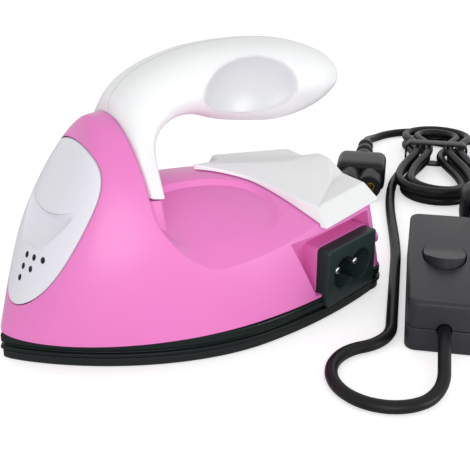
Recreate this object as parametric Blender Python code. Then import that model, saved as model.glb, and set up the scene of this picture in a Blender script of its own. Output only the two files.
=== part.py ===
"""Mini heat press (craft iron) with its detachable cord set, as an assembly of separate pieces.

Metres, +Z up. The nose points to -X, the heel to +X, and the mains inlet is on the -Y side.
The origin is under the middle of the iron, on the surface that it stands on.
"""
import math

import bmesh
import bpy
from mathutils import Matrix, Vector

# Clearances and overruns
GAP = 0.0003
RUNNING = 0.00008
OVERRUN = 0.002
MERGE = 0.00001

# Base outline: a soleplate that is widest behind its middle
BASE_LENGTH = 0.112
BASE_WIDTH = 0.0681
HEEL_WIDTH = 0.0497
CORNER_RADIUS = 0.006
WIDEST_SHARE = 0.55
NOSE_BLUNT = 1.88
NOSE_SQUARE = 1.15

# Soleplate and black skirt
SOLE_THICKNESS = 0.0026
SOLE_CHAMFER = 0.0006
SOLE_PILOT_DEPTH = 0.0017
SKIRT_HEIGHT = 0.0045
SKIRT_WALL = 0.0016
SKIRT_FLOOR = 0.0016
SKIRT_LIP = 0.0005
SKIRT_LIP_HEIGHT = 0.0008
SKIRT_GROOVE = 0.0005

# Body shell
WALL = 0.0018
SHELL_SETBACK = 0.0004
TONGUE_DEPTH = 0.0016
TONGUE_INSET = 0.0022
TONGUE_WALL = 0.0010
TONGUE_LEDGE = 0.0015
HOOD_TOP = 0.0614
HOOD_LENGTH = 0.0344
NOSE_LEAN = math.radians(22.8)
NOSE_STEP = 0.0006
NOSE_BEND = 0.0320
NOSE_BEND_SOFT = 0.0060
NOSE_TOP_LEAN = math.radians(31.4)
WALL_DRAFT = math.radians(5.7)
HEEL_DRAFT = math.radians(8.0)
TOP_BLUNT = 0.69
TOP_SQUARE = 3.28
TOP_ROUND = 3.25

# Saddle deck behind the hood
DECK_RIDGE = 0.0414
DECK_RIDGE_END = 0.0255
DECK_EDGE = 0.0244
DECK_EDGE_END = 0.0298
DECK_HALF = 0.0305
DECK_CROWN = 1.8
DECK_FILLET = 0.0156

# Finger scoops beside the leg of the handle
SCOOP_CENTRE = 0.0206
SCOOP_HALF_LENGTH = 0.0185
SCOOP_INNER = 0.0065
SCOOP_OUTER = 0.0275
SCOOP_DEPTH = 0.0015
SCOOP_FADE = 0.0190
SCOOP_ROUND = 2.6

# Front panel with its scoop and vents
PANEL_HALF_WIDTH = 0.0158
PANEL_BOTTOM = 0.0158
PANEL_TOP = 0.0554
PANEL_WIDEST = 0.0394
PANEL_TOP_SQUARE = 2.4
PANEL_DEPTH = 0.0032
PANEL_LAP = 0.0016
DISH_TOP = 0.0366
DISH_BOTTOM = 0.0305
DISH_LIFT = 0.0058
DISH_HALF_WIDTH = 0.0134
DISH_DEPTH = 0.0019
VENT_DIAMETER = 0.0017
VENT_PITCH = 0.0038
VENT_TOP = 0.0280
VENT_ROW_PITCH = 0.0029
VENT_CLIMB = 0.0005
VENT_SIDE = 0.0003
VENT_ROWS = 3

# Heel pegs that the iron stands up on
PEG_DIAMETER = 0.0042
PEG_REACH = 0.0032
PEG_SPREAD = 0.0165
PEG_HEIGHT = 0.0125

# Mains inlet on the left side, for a two-hole figure-8 connector
INLET_ANGLE = math.radians(14.0)
INLET_PLACE = 0.0180
INLET_OUT = 0.0305
INLET_WIDTH = 0.0230
INLET_BOTTOM = 0.0043
INLET_TOP = 0.0217
INLET_FLANGE = 0.0040
INLET_CORNER = 0.0012
INLET_SINK = 0.0092
INLET_BODY_WIDTH = 0.0200
INLET_BODY_HEIGHT = 0.0120
INLET_BODY_DEPTH = 0.0150
SOCKET_DEPTH = 0.0105
SOCKET_RADIUS = 0.0048
SOCKET_WIDTH = 0.0172
PIN_PITCH = 0.0086
PIN_DIAMETER = 0.0024
PIN_SETBACK = 0.0016
PIN_TAIL = 0.0050
RECESS_LEFT_TOP = 0.0098
RECESS_LEFT_BOTTOM = 0.0048
RECESS_RIGHT = 0.0010
RECESS_TOP = 0.0040

# Handle: a loft along pairs of points on its top and underside
HANDLE_RISE = 0.0318
HANDLE_REACH = 0.0756
HANDLE_FOOT = 0.0440
LEG_HALF_WIDTH = 0.0203
THUMB_PLACE = 0.0401
THUMB_HEIGHT = 0.0640
THUMB_HALF_LENGTH = 0.0180
THUMB_HALF_HEIGHT = 0.0118
THUMB_OUT = 0.0160
THUMB_REACH = 0.0086
ROOT_HALF_WIDTH = 0.0060
ROOT_BOTTOM = 0.0470
ROOT_TOP = 0.0530
ROOT_COLLAR = 0.0022
ROOT_COLLAR_RIM = 0.0020
HANDLE_UNDER_SQUARE = 1.75
HANDLE_SCREW_FRONT = 0.0096
HANDLE_SCREW_FRONT_HEIGHT = 0.0640
HANDLE_SCREW_REAR = 0.0641
HANDLE_SCREW_REAR_HEIGHT = 0.0612
HANDLE_SCREW_SEAT = 0.0050
HANDLE_SCREW_BITE = 0.0050

# Screws
SCREW_DIAMETER = 0.0026
SCREW_HEAD_DIAMETER = 0.0052
SCREW_HEAD_HEIGHT = 0.0020
SCREW_SOCKET_DIAMETER = 0.0022
SCREW_SOCKET_DEPTH = 0.0011
SCREW_LENGTH = 0.0120

# Rear cover
COVER_TIP = 0.0518
COVER_TIP_HEIGHT = 0.0422
COVER_NOTCH = 0.0195
COVER_NOTCH_HEIGHT = 0.0364
COVER_SHOULDER = 0.0284
COVER_SHOULDER_HALF = 0.0265
COVER_SHOULDER_HEIGHT = 0.0328
COVER_HEEL = 0.0046
COVER_HEEL_HALF = 0.0185
COVER_HEEL_HEIGHT = 0.0326
COVER_VALLEY = 0.0114
COVER_VALLEY_HALF = 0.0122
COVER_STEP = 0.0008
COVER_FIN_HALF = 0.0024
COVER_FIN_HEIGHT = 0.0356
COVER_FIN_FOOT = 0.0092
COVER_SKIRT_FOOT = 0.0276
COVER_HEEL_FOOT = 0.0280
COVER_LAP = 0.0012
COVER_HEEL_FLARE = 0.0024
COVER_POST_DIAMETER = 0.0040
COVER_POST_PLACE = 0.0220
COVER_POST_SPREAD = 0.0120
COVER_POST_LENGTH = 0.0040

# Heating parts on the soleplate
HEATER_PLACE = 0.0520
HEATER_LENGTH = 0.0360
HEATER_WIDTH = 0.0160
HEATER_THICKNESS = 0.0040
WINDOW_MARGIN = 0.0050
CLAMP_LENGTH = 0.0460
CLAMP_WIDTH = 0.0120
CLAMP_THICKNESS = 0.0010
CLAMP_SCREW_SPREAD = 0.0205
THERMOSTAT_DIAMETER = 0.0120
THERMOSTAT_HEIGHT = 0.0060
THERMOSTAT_PLACE = 0.0298
FUSE_DIAMETER = 0.0042
FUSE_LENGTH = 0.0120
WIRE_DIAMETER = 0.0016
BASE_SCREW_SPREAD = 0.0150
BASE_SCREW_FRONT = 0.0240
BASE_SCREW_REAR = 0.0140
COLUMN_DIAMETER = 0.0070
COLUMN_PLACE = 0.0120
COLUMN_BOSS_DIAMETER = 0.0090
COLUMN_BOSS_HEIGHT = 0.0024
SHELL_SCREW_SINK = 0.0012

# Cord set: cord, in-line switch, hank, tie, connector and plug, laid out in a turned frame
CORD_DIAMETER = 0.0034
CORD_STEP = 0.0070
FLOOR_GAP = 0.00005
SET_X = 0.0614
SET_Y = -0.0420
SET_TURN = math.radians(45.0)
SWITCH_LENGTH = 0.0610
SWITCH_WIDTH = 0.0200
SWITCH_HEIGHT = 0.0150
SWITCH_PARTING = 0.0070
SWITCH_WALL = 0.0016
SWITCH_CORNER = 0.0030
SWITCH_ROUND = 0.0012
CORD_ENTRY = 0.0065
SWITCH_SCREW_PLACE = 0.0175
SWITCH_POST_DIAMETER = 0.0056
SWITCH_SCREW_LENGTH = 0.0070
ROCKER_LENGTH = 0.0190
ROCKER_WIDTH = 0.0120
ROCKER_HEIGHT = 0.0030
ROCKER_UNDER = 0.0012
ROCKER_CLEARANCE = 0.0006
ROCKER_PIVOT_DROP = 0.0028
ROCKER_AXLE = 0.0024
ROCKER_AXLE_REACH = 0.0012
ROCKER_BOSS = 0.0060
ROCKER_TILT = math.radians(8.0)
TERMINAL_LENGTH = 0.0060
TERMINAL_WIDTH = 0.0040
TERMINAL_HEIGHT = 0.0030
TERMINAL_SPREAD = 0.0050
BULB_RADIUS = 0.0140
BULB_PLACE = 0.0460
LANE_SIDE = 0.0136
LANE_SHIFT_START = 0.0200
LANE_SHIFT_LENGTH = 0.0560
HANK_NEAR = 0.0880
HANK_FAR = 0.1340
HANK_RADIUS = 0.0170
HANK_PITCH = 0.0046
HANK_LAYER = 0.0039
HANK_PULL = 0.0080
HANK_WAIST = 0.0180
TIE_PLACE = 0.1200
TIE_LIFT = 0.0014
TIE_WIDTH = 0.0050
TIE_THICKNESS = 0.0008
TIE_CLEARANCE = 0.0004
LEAD_START = 0.1110
LEAD_LENGTH = 0.0215
PLUG_RELIEF = 0.0100
PLUG_LENGTH = 0.0230
PLUG_WIDTH = 0.0200
PLUG_THICKNESS = 0.0130
PLUG_CORNER = 0.0030
BLADE_PITCH = 0.0127
BLADE_LENGTH = 0.0140
BLADE_HEIGHT = 0.0063
BLADE_THICKNESS = 0.0015
BLADE_BITE = 0.0060
BLADE_HOLE = 0.0030
BLADE_HOLE_PLACE = 0.0108
SHORT_CORD_SIDE = 0.0210
SHORT_CORD_FALL = 0.0280
SHORT_CORD_RISE = 0.0250
CONNECTOR_SIDE = 0.0290
CONNECTOR_END = 0.1240
CONNECTOR_RELIEF = 0.0200
CONNECTOR_GRIP = 0.0200
CONNECTOR_REACH = 0.0100
CONNECTOR_WIDTH = 0.0185
CONNECTOR_THICKNESS = 0.0110
CONNECTOR_CORNER = 0.0025
CONNECTOR_BORE = 0.0039
CONNECTOR_BORE_DEPTH = 0.0130
SLEEVE_DIAMETER = 0.0033
SLEEVE_BORE = 0.0027
SLEEVE_LENGTH = 0.0120
RELIEF_DIAMETER = 0.0078
RELIEF_NECK = 0.0056

STEEL = (0.62, 0.62, 0.64, 1.0)
BRASS = (0.72, 0.55, 0.28, 1.0)
PINK = (0.83, 0.18, 0.55, 1.0)
WHITE = (0.90, 0.90, 0.91, 1.0)
PANEL_GREY = (0.74, 0.74, 0.80, 1.0)
BLACK = (0.012, 0.016, 0.016, 1.0)
SOLE_GREY = (0.045, 0.045, 0.055, 1.0)
CORD_BLACK = (0.015, 0.015, 0.018, 1.0)

# Shapes given as shares of the sizes above
SCREW_TIP_SHARE = 0.45
SCREW_RIM_SHARE = 0.45
SCREW_CROWN_SHARE = 0.72
TOP_SHARE = 0.9985
DECK_BEND_SHARE = 0.30
HULL_LEVEL_SHARES = (0.19, 0.27, 0.35, 0.43, 0.51, 0.59, 0.67, 0.75, 0.82, 0.88, 0.93, 0.965, 0.985, 0.9985)
SCOOP_RING_SHARES = (0.05, 0.45, 0.8, 1.0)
# Each row: top of the handle (along, up), its underside (along, up), half width, squareness at the top
HANDLE_SHARES = (
    (0.004, 0.000, 0.118, -0.050, 1.000, 6.0),
    (0.004, 0.119, 0.120, 0.075, 0.900, 6.0),
    (0.004, 0.245, 0.127, 0.195, 0.785, 6.0),
    (0.004, 0.371, 0.143, 0.300, 0.680, 5.0),
    (0.004, 0.481, 0.176, 0.375, 0.610, 3.6),
    (0.004, 0.560, 0.220, 0.420, 0.570, 2.8),
    (0.022, 0.680, 0.275, 0.430, 0.530, 2.4),
    (0.072, 0.800, 0.332, 0.405, 0.510, 2.3),
    (0.165, 0.905, 0.392, 0.352, 0.510, 2.3),
    (0.292, 0.978, 0.455, 0.305, 0.520, 2.3),
    (0.418, 1.000, 0.524, 0.270, 0.535, 2.3),
    (0.537, 0.995, 0.597, 0.240, 0.560, 2.3),
    (0.656, 0.968, 0.676, 0.215, 0.585, 2.3),
    (0.757, 0.920, 0.762, 0.223, 0.590, 2.3),
    (0.838, 0.856, 0.838, 0.266, 0.567, 2.3),
    (0.898, 0.788, 0.898, 0.340, 0.487, 2.2),
    (0.932, 0.720, 0.932, 0.432, 0.367, 2.1),
    (0.945, 0.630, 0.945, 0.527, 0.155, 2.0),
)
SCOOP_RIM_SHARE = 1.08
PEDESTAL_FLARE_SHARE = 0.35
PEDESTAL_SHARES = ((0.0, 0.985), (0.25, 1.02), (0.55, 1.06), (0.8, 1.08))
COVER_EDGE_SHARES = ((0.197, 0.087), (0.419, 0.215), (0.594, 0.358), (0.752, 0.604), (0.87, 0.84))
# Each row: height down the dish, its half width, its depth
DISH_SHARES = ((0.0, 1.0, 0.25), (0.2, 0.93, 1.0), (0.5, 0.8, 0.9), (0.8, 0.6, 0.55), (1.0, 0.42, 0.12))

RELIEF_RIB_SHARES = (0.0, 0.12, 0.2, 0.32, 0.4, 0.52, 0.6, 0.72, 0.8, 0.92)
RELIEF_TAPER_SHARE = 0.22
GRIP_SHARES = ((0.0, 0.56, 0.66), (0.16, 0.86, 0.9), (0.3, 1.0, 1.0), (0.9, 1.0, 1.0), (1.0, 0.96, 0.95))
PLUG_SHARES = ((0.0, 0.5, 0.6), (0.25, 0.8, 0.8), (0.5, 0.97, 0.97), (0.62, 1.0, 1.0), (0.94, 1.0, 1.0),
               (1.0, 0.95, 0.93))
LAYER_LOOPS_SHARES = (1.5, 2.0, 3.5)
THERMOSTAT_STEP_SHARE = 0.45
THERMOSTAT_CAP_SHARE = 0.85
FUSE_TIP_SHARE = 0.6
FUSE_BODY_SHARE = 0.42
SHELL_SCREW_SHARE = 0.8
DISH_ROUND_SHARE = 3.5

# Counts of steps in the curved forms
HANK_STEPS = 28
LEAVE_STEPS = 3
LEAD_STEPS = 6
NOSE_STEPS = 12
SIDE_STEPS = 5
CORNER_STEPS = 3
FILLET_STEPS = 6
DECK_STEPS = 9
DECK_ACROSS = 9
SCOOP_STEPS = 28
HANDLE_STEPS = 24
DISH_STEPS = 8
PANEL_STEPS = 8
SCREW_SIDES = 10

# Places worked out from the sizes above
NOSE_X = -(BASE_LENGTH + PEG_REACH) / 2
HEEL_X = NOSE_X + BASE_LENGTH
SKIRT_BOTTOM = SOLE_THICKNESS + GAP
SKIRT_TOP = SKIRT_BOTTOM + SKIRT_HEIGHT
SHELL_BOTTOM = SKIRT_TOP + GAP
FLOOR_TOP = SKIRT_BOTTOM + SKIRT_FLOOR
HOOD_REAR = NOSE_X + HOOD_LENGTH
DECK_START = HOOD_REAR + DECK_FILLET
SCREW_RADIUS = SCREW_DIAMETER / 2


def clear_scene():
    for item in list(bpy.data.objects):
        bpy.data.objects.remove(item, do_unlink=True)


def make_material(name, colour, roughness, metallic=0.0):
    material = bpy.data.materials.new(name)
    material.use_nodes = True
    shader = material.node_tree.nodes["Principled BSDF"]
    shader.inputs["Base Color"].default_value = colour
    shader.inputs["Roughness"].default_value = roughness
    shader.inputs["Metallic"].default_value = metallic
    return material


# Modelling helpers
def place_mesh(name, bm, parent=None, matrix=None):
    """Turn a bmesh into an object whose faces point out."""
    bmesh.ops.remove_doubles(bm, verts=bm.verts, dist=MERGE)
    bmesh.ops.recalc_face_normals(bm, faces=bm.faces)
    mesh = bpy.data.meshes.new(name)
    bm.to_mesh(mesh)
    bm.free()
    item = bpy.data.objects.new(name, mesh)
    bpy.context.collection.objects.link(item)
    item.parent = parent
    if matrix is not None:
        item.matrix_basis = matrix
    return item


def loft(name, rings, parent=None, matrix=None):
    """Skin a stack of closed rings that hold equal counts of points, and cap both ends."""
    bm = bmesh.new()
    rows = [[bm.verts.new(point) for point in ring] for ring in rings]
    for lower, upper in zip(rows, rows[1:]):
        for here in range(len(lower)):
            after = (here + 1) % len(lower)
            bm.faces.new((lower[here], lower[after], upper[after], upper[here]))
    bm.faces.new(rows[0])
    bm.faces.new(rows[-1])
    return place_mesh(name, bm, parent, matrix)


def prism(name, outline, low, high, parent=None, matrix=None):
    """Extrude an outline in X and Y between two heights."""
    return loft(name, [[(x, y, z) for x, y in outline] for z in (low, high)], parent, matrix)


def box(name, low, high, parent=None, matrix=None):
    outline = [(low[0], low[1]), (high[0], low[1]), (high[0], high[1]), (low[0], high[1])]
    return prism(name, outline, low[2], high[2], parent, matrix)


def circle(radius, count, centre=(0.0, 0.0)):
    step = math.tau / count
    return [(centre[0] + radius * math.cos(turn * step), centre[1] + radius * math.sin(turn * step))
            for turn in range(count)]


def turned(name, profile, count, parent=None, matrix=None):
    """Turn a profile of radius and height about the local Z axis."""
    rings = [[(x, y, height) for x, y in circle(radius, count)] for radius, height in profile]
    return loft(name, rings, parent, matrix)


def rounded_box_outline(length, width, radius, count=3):
    """Outline of a rectangle with round corners, centred on zero."""
    points = []
    quarter = math.pi / 2
    for corner, (side_x, side_y) in enumerate(((1, 1), (-1, 1), (-1, -1), (1, -1))):
        middle = (side_x * (length / 2 - radius), side_y * (width / 2 - radius))
        for step in range(count + 1):
            turn = quarter * (corner + step / count)
            points.append((middle[0] + radius * math.cos(turn), middle[1] + radius * math.sin(turn)))
    return points


def combine(target, tool, operation):
    """Apply a Boolean at once, and remove the tool."""
    modifier = target.modifiers.new(operation.lower(), "BOOLEAN")
    modifier.operation = operation
    modifier.object = tool
    bpy.context.view_layer.update()
    evaluated = target.evaluated_get(bpy.context.evaluated_depsgraph_get())
    mesh = bpy.data.meshes.new_from_object(evaluated)
    target.modifiers.clear()
    target.data = mesh
    bpy.data.objects.remove(tool, do_unlink=True)
    return target


def cut(target, tool):
    return combine(target, tool, "DIFFERENCE")


def join(target, tool):
    return combine(target, tool, "UNION")


def keep_common(target, tool):
    return combine(target, tool, "INTERSECT")


def finish(item, material, angle=32.0):
    item.data.materials.clear()
    item.data.materials.append(material)
    item.data.shade_smooth()
    item.data.set_sharp_from_angle(angle=math.radians(angle))
    return item


def axis_matrix(place, direction):
    """Frame at `place` whose Z axis runs along `direction`."""
    turn = Vector(direction).to_track_quat("Z", "Y").to_matrix().to_4x4()
    return Matrix.Translation(Vector(place)) @ turn


def screw(name, place, direction, length, parent=None):
    """Pan-head screw: `place` is under its head, and the shank runs along `direction`."""
    head = SCREW_HEAD_DIAMETER / 2
    profile = [
        (SCREW_RADIUS * SCREW_TIP_SHARE, length),
        (SCREW_RADIUS, length - SCREW_RADIUS),
        (SCREW_RADIUS, 0.0),
        (head, 0.0),
        (head, -SCREW_HEAD_HEIGHT * SCREW_RIM_SHARE),
        (head * SCREW_CROWN_SHARE, -SCREW_HEAD_HEIGHT),
        (SCREW_SOCKET_DIAMETER / 2, -SCREW_HEAD_HEIGHT),
        (SCREW_SOCKET_DIAMETER / 2, SCREW_SOCKET_DEPTH - SCREW_HEAD_HEIGHT),
    ]
    item = turned(name, profile, SCREW_SIDES, parent, axis_matrix(place, direction))
    return finish(item, STEEL_FINISH)


def drill(target, place, direction, diameter, depth, count=16):
    """Cut a round hole that starts an overrun outside `place`."""
    tool = turned("drill", [(diameter / 2, -OVERRUN), (diameter / 2, depth)], count,
                  None, axis_matrix(place, direction))
    return cut(target, tool)


def tube(name, points, diameter, material, resolution=2, parent=None):
    """Round cord or wire along a smooth list of points, with flat filled ends."""
    curve = bpy.data.curves.new(name, "CURVE")
    curve.dimensions = "3D"
    curve.bevel_depth = diameter / 2
    curve.bevel_resolution = resolution
    curve.use_fill_caps = True
    spline = curve.splines.new("POLY")
    spline.points.add(len(points) - 1)
    for knot, point in zip(spline.points, points):
        knot.co = (point[0], point[1], point[2], 1.0)
    item = bpy.data.objects.new(name, curve)
    bpy.context.collection.objects.link(item)
    item.parent = parent
    curve.materials.append(material)
    return item


def smooth_path(knots, step):
    """Points at about `step` along the Catmull-Rom curve through the knots."""
    knots = [Vector(knot) for knot in knots]
    ends = [knots[0] * 2 - knots[1]] + knots + [knots[-1] * 2 - knots[-2]]
    points = []
    for here in range(1, len(ends) - 2):
        before, start, stop, after = ends[here - 1:here + 3]
        count = max(1, round((stop - start).length / step))
        for number in range(count):
            t = number / count
            points.append(0.5 * (2 * start + (stop - before) * t
                                 + (2 * before - 5 * start + 4 * stop - after) * t ** 2
                                 + (3 * start - before - 3 * stop + after) * t ** 3))
    points.append(knots[-1])
    return points


# Outlines of the base and sections of the body
def mirror_half(half):
    """Close a half outline, from nose to heel on the -Y side, with its mirror image."""
    return half + [(x, -y) for x, y in reversed(half[1:-1])]


def nose_half(nose, widest, heel, half_width, heel_drop, blunt, square, corner, flat=1.0):
    """Half outline with a blunt nose, its widest point, and a rounded heel corner."""
    points = []
    for step in range(NOSE_STEPS + 1):
        across = math.sin(step / NOSE_STEPS * math.pi / 2)
        along = 1 - (1 - across ** square) ** (1 / blunt)
        points.append((nose + (widest - nose) * along, -half_width * across * flat))
    side_end = heel - corner
    for step in range(1, SIDE_STEPS + 1):
        x = widest + (side_end - widest) * step / SIDE_STEPS
        share = (x - widest) / (heel - widest)
        points.append((x, -(half_width - heel_drop * share ** 2) * flat))
    last = -points[-1][1]
    for step in range(1, CORNER_STEPS + 1):
        turn = step / CORNER_STEPS * math.pi / 2
        points.append((side_end + corner * math.sin(turn), -(last - corner * flat * (1 - math.cos(turn)))))
    points.append((heel, 0.0))
    return points


def base_outline(inset):
    """Outline of the base, drawn in by `inset`."""
    half = nose_half(NOSE_X + inset, NOSE_X + BASE_LENGTH * WIDEST_SHARE, HEEL_X - inset,
                     BASE_WIDTH / 2 - inset, (BASE_WIDTH - HEEL_WIDTH) / 2,
                     NOSE_BLUNT, NOSE_SQUARE, CORNER_RADIUS - inset)
    return mirror_half(half)


def at_height(outline, z):
    return [(x, y, z) for x, y in outline]


def nose_line(z):
    """Where the nose's middle line stands at a height; it leans back more above its bend."""
    over = z - NOSE_BEND
    gain = math.tan(NOSE_TOP_LEAN) - math.tan(NOSE_LEAN)
    return (NOSE_X + NOSE_STEP + (z - SKIRT_TOP) * math.tan(NOSE_LEAN)
            + gain * (math.hypot(over, NOSE_BEND_SOFT) + over) / 2)


def hull_section(z, inset):
    """Level section of the body, `inset` inside its outer skin."""
    top = HOOD_TOP - inset
    share = min(z / HOOD_TOP, 1.0)
    rise = min(z / top, TOP_SHARE)
    flat = (1 - rise ** TOP_ROUND) ** 0.5
    nose = nose_line(z) + inset / math.cos(NOSE_LEAN)
    heel = HEEL_X - SHELL_SETBACK - (z - SKIRT_TOP) * math.tan(HEEL_DRAFT) - inset
    half = nose_half(nose, NOSE_X + BASE_LENGTH * WIDEST_SHARE, heel,
                     BASE_WIDTH / 2 - z * math.tan(WALL_DRAFT) - inset, (BASE_WIDTH - HEEL_WIDTH) / 2,
                     NOSE_BLUNT + TOP_BLUNT * share, NOSE_SQUARE + TOP_SQUARE * share,
                     CORNER_RADIUS, flat)
    return at_height(mirror_half(half), z)


def wall_half(x, z):
    """Half width of the body's outer wall behind its widest place."""
    widest = NOSE_X + BASE_LENGTH * WIDEST_SHARE
    heel = HEEL_X - SHELL_SETBACK - (z - SKIRT_TOP) * math.tan(HEEL_DRAFT)
    share = (x - widest) / (heel - widest)
    return BASE_WIDTH / 2 - z * math.tan(WALL_DRAFT) - (BASE_WIDTH - HEEL_WIDTH) / 2 * share ** 2


def hull_levels(bottom, inset):
    top = HOOD_TOP - inset
    return [bottom] + [top * share for share in HULL_LEVEL_SHARES if top * share > bottom + GAP]


def hull(name, bottom, inset):
    """Closed solid of the whole body form, before the deck is cut."""
    return loft(name, [hull_section(z, inset) for z in hull_levels(bottom, inset)])


def deck_height(x, y):
    """Height of the saddle deck, without the scoops."""
    along = x - DECK_START
    reach = HEEL_X - DECK_START
    ridge = DECK_RIDGE
    if along > 0:
        fall = along / reach
        ridge -= (DECK_RIDGE - DECK_RIDGE_END) * (DECK_BEND_SHARE * fall + (1 - DECK_BEND_SHARE) * fall ** 2)
    edge = DECK_EDGE + (DECK_EDGE_END - DECK_EDGE) * max(along, 0.0) / reach
    height = ridge - (ridge - edge) * (abs(y) / DECK_HALF) ** DECK_CROWN
    from_hood = x - HOOD_REAR
    if from_hood < DECK_FILLET:
        bend = 1 - max(from_hood, 0.0) / DECK_FILLET
        height += (DECK_RIDGE - height) * (1 - (1 - bend ** 2) ** 0.5)
    return height


def surface_block(name, xs, ys, low, top):
    """Solid above a height function over a grid, with a level top."""
    bm = bmesh.new()
    under = [[bm.verts.new((x, y, low(x, y))) for y in ys] for x in xs]
    over = [[bm.verts.new((x, y, top)) for y in ys] for x in xs]
    rows = len(xs)
    columns = len(ys)
    for i in range(rows - 1):
        for j in range(columns - 1):
            bm.faces.new((under[i][j], under[i][j + 1], under[i + 1][j + 1], under[i + 1][j]))
            bm.faces.new((over[i][j], over[i + 1][j], over[i + 1][j + 1], over[i][j + 1]))
    for i in range(rows - 1):
        bm.faces.new((under[i][0], under[i + 1][0], over[i + 1][0], over[i][0]))
        bm.faces.new((under[i + 1][-1], under[i][-1], over[i][-1], over[i + 1][-1]))
    for j in range(columns - 1):
        bm.faces.new((under[0][j + 1], under[0][j], over[0][j], over[0][j + 1]))
        bm.faces.new((under[-1][j], under[-1][j + 1], over[-1][j + 1], over[-1][j]))
    return place_mesh(name, bm)


def deck_grid(start):
    """Stations along and across the deck, closer together in the fillet behind the hood."""
    end = HEEL_X + OVERRUN
    xs = [start] + [HOOD_REAR + DECK_FILLET * (1 - math.cos(step / FILLET_STEPS * math.pi / 2))
                    for step in range(1, FILLET_STEPS + 1)]
    deck_from = xs[-1]
    xs += [deck_from + (end - deck_from) * step / DECK_STEPS for step in range(1, DECK_STEPS + 1)]
    half = BASE_WIDTH / 2 + OVERRUN
    ys = [half * step / DECK_ACROSS for step in range(-DECK_ACROSS, DECK_ACROSS + 1)]
    return xs, ys


def deck_cutter(drop, start):
    xs, ys = deck_grid(start)
    return surface_block("deck_cutter", xs, ys, lambda x, y: deck_height(x, y) - drop, HOOD_TOP + OVERRUN)


def scoop_cutter(side):
    """Shallow finger scoop: a step at its inner rim that fades out towards the edge of the deck."""
    centre_x = HOOD_REAR + SCOOP_CENTRE
    middle = (SCOOP_INNER + SCOOP_OUTER) / 2
    half = (SCOOP_OUTER - SCOOP_INNER) / 2

    def low(x, y):
        out = max(abs(y) - SCOOP_INNER, 0.0) / SCOOP_FADE
        return deck_height(x, y) - SCOOP_DEPTH * (1 - out ** 2)

    rings = []
    for share in SCOOP_RING_SHARES + (SCOOP_RIM_SHARE,):
        ring = []
        for step in range(SCOOP_STEPS):
            turn = step / SCOOP_STEPS * math.tau
            power = 2 / SCOOP_ROUND
            across = math.copysign(abs(math.sin(turn)) ** power, math.sin(turn))
            along = math.copysign(abs(math.cos(turn)) ** power, math.cos(turn))
            x = centre_x + SCOOP_HALF_LENGTH * share * along
            y = side * (middle + half * share * across)
            ring.append((x, y, low(x, y) if share <= 1 else deck_height(x, y) + GAP))
        rings.append(ring)
    rings.append([(x, y, HOOD_TOP + OVERRUN) for x, y, z in rings[-1]])
    return loft("scoop_cutter", rings)


# Inlet frame: local X runs along the face towards the heel, local Y up, and local Z out of the iron
def inlet_matrix():
    place = Vector((HEEL_X - INLET_PLACE, -INLET_OUT, 0.0))
    along = Vector((math.cos(INLET_ANGLE), math.sin(INLET_ANGLE), 0.0))
    out = Vector((math.sin(INLET_ANGLE), -math.cos(INLET_ANGLE), 0.0))
    up = Vector((0.0, 0.0, 1.0))
    return Matrix.Translation(place) @ Matrix((along, up, out)).transposed().to_4x4()


def slanted_recess(grow, depth):
    """Block that cuts the flat recess round the inlet, its left side slanted as the wall's edge."""
    half = INLET_WIDTH / 2
    top = INLET_TOP + RECESS_TOP + grow
    outline = [
        (-half - RECESS_LEFT_BOTTOM - grow, 0.0),
        (half + RECESS_RIGHT + grow, 0.0),
        (half + RECESS_RIGHT + grow, top),
        (-half - RECESS_LEFT_TOP - grow, top),
    ]
    return prism("recess", outline, -INLET_SINK - depth, OVERRUN + INLET_FLANGE, None, inlet_matrix())


def build_soleplate():
    rim = SKIRT_LIP
    rings = [
        at_height(base_outline(rim + SOLE_CHAMFER), 0.0),
        at_height(base_outline(rim), SOLE_CHAMFER),
        at_height(base_outline(rim), SOLE_THICKNESS),
    ]
    plate = loft("soleplate", rings)
    for x, y in base_screw_places() + clamp_screw_places():
        drill(plate, (x, y, SOLE_THICKNESS), (0, 0, -1), SCREW_DIAMETER + 2 * GAP, SOLE_PILOT_DEPTH)
    return finish(plate, SOLE_FINISH)


def base_screw_places():
    return [(NOSE_X + BASE_SCREW_FRONT, 0.0)] + [(HEEL_X - BASE_SCREW_REAR, side * BASE_SCREW_SPREAD)
                                                for side in (-1, 1)]


def clamp_screw_places():
    return [(NOSE_X + HEATER_PLACE + side * CLAMP_SCREW_SPREAD, 0.0) for side in (-1, 1)]


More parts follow.
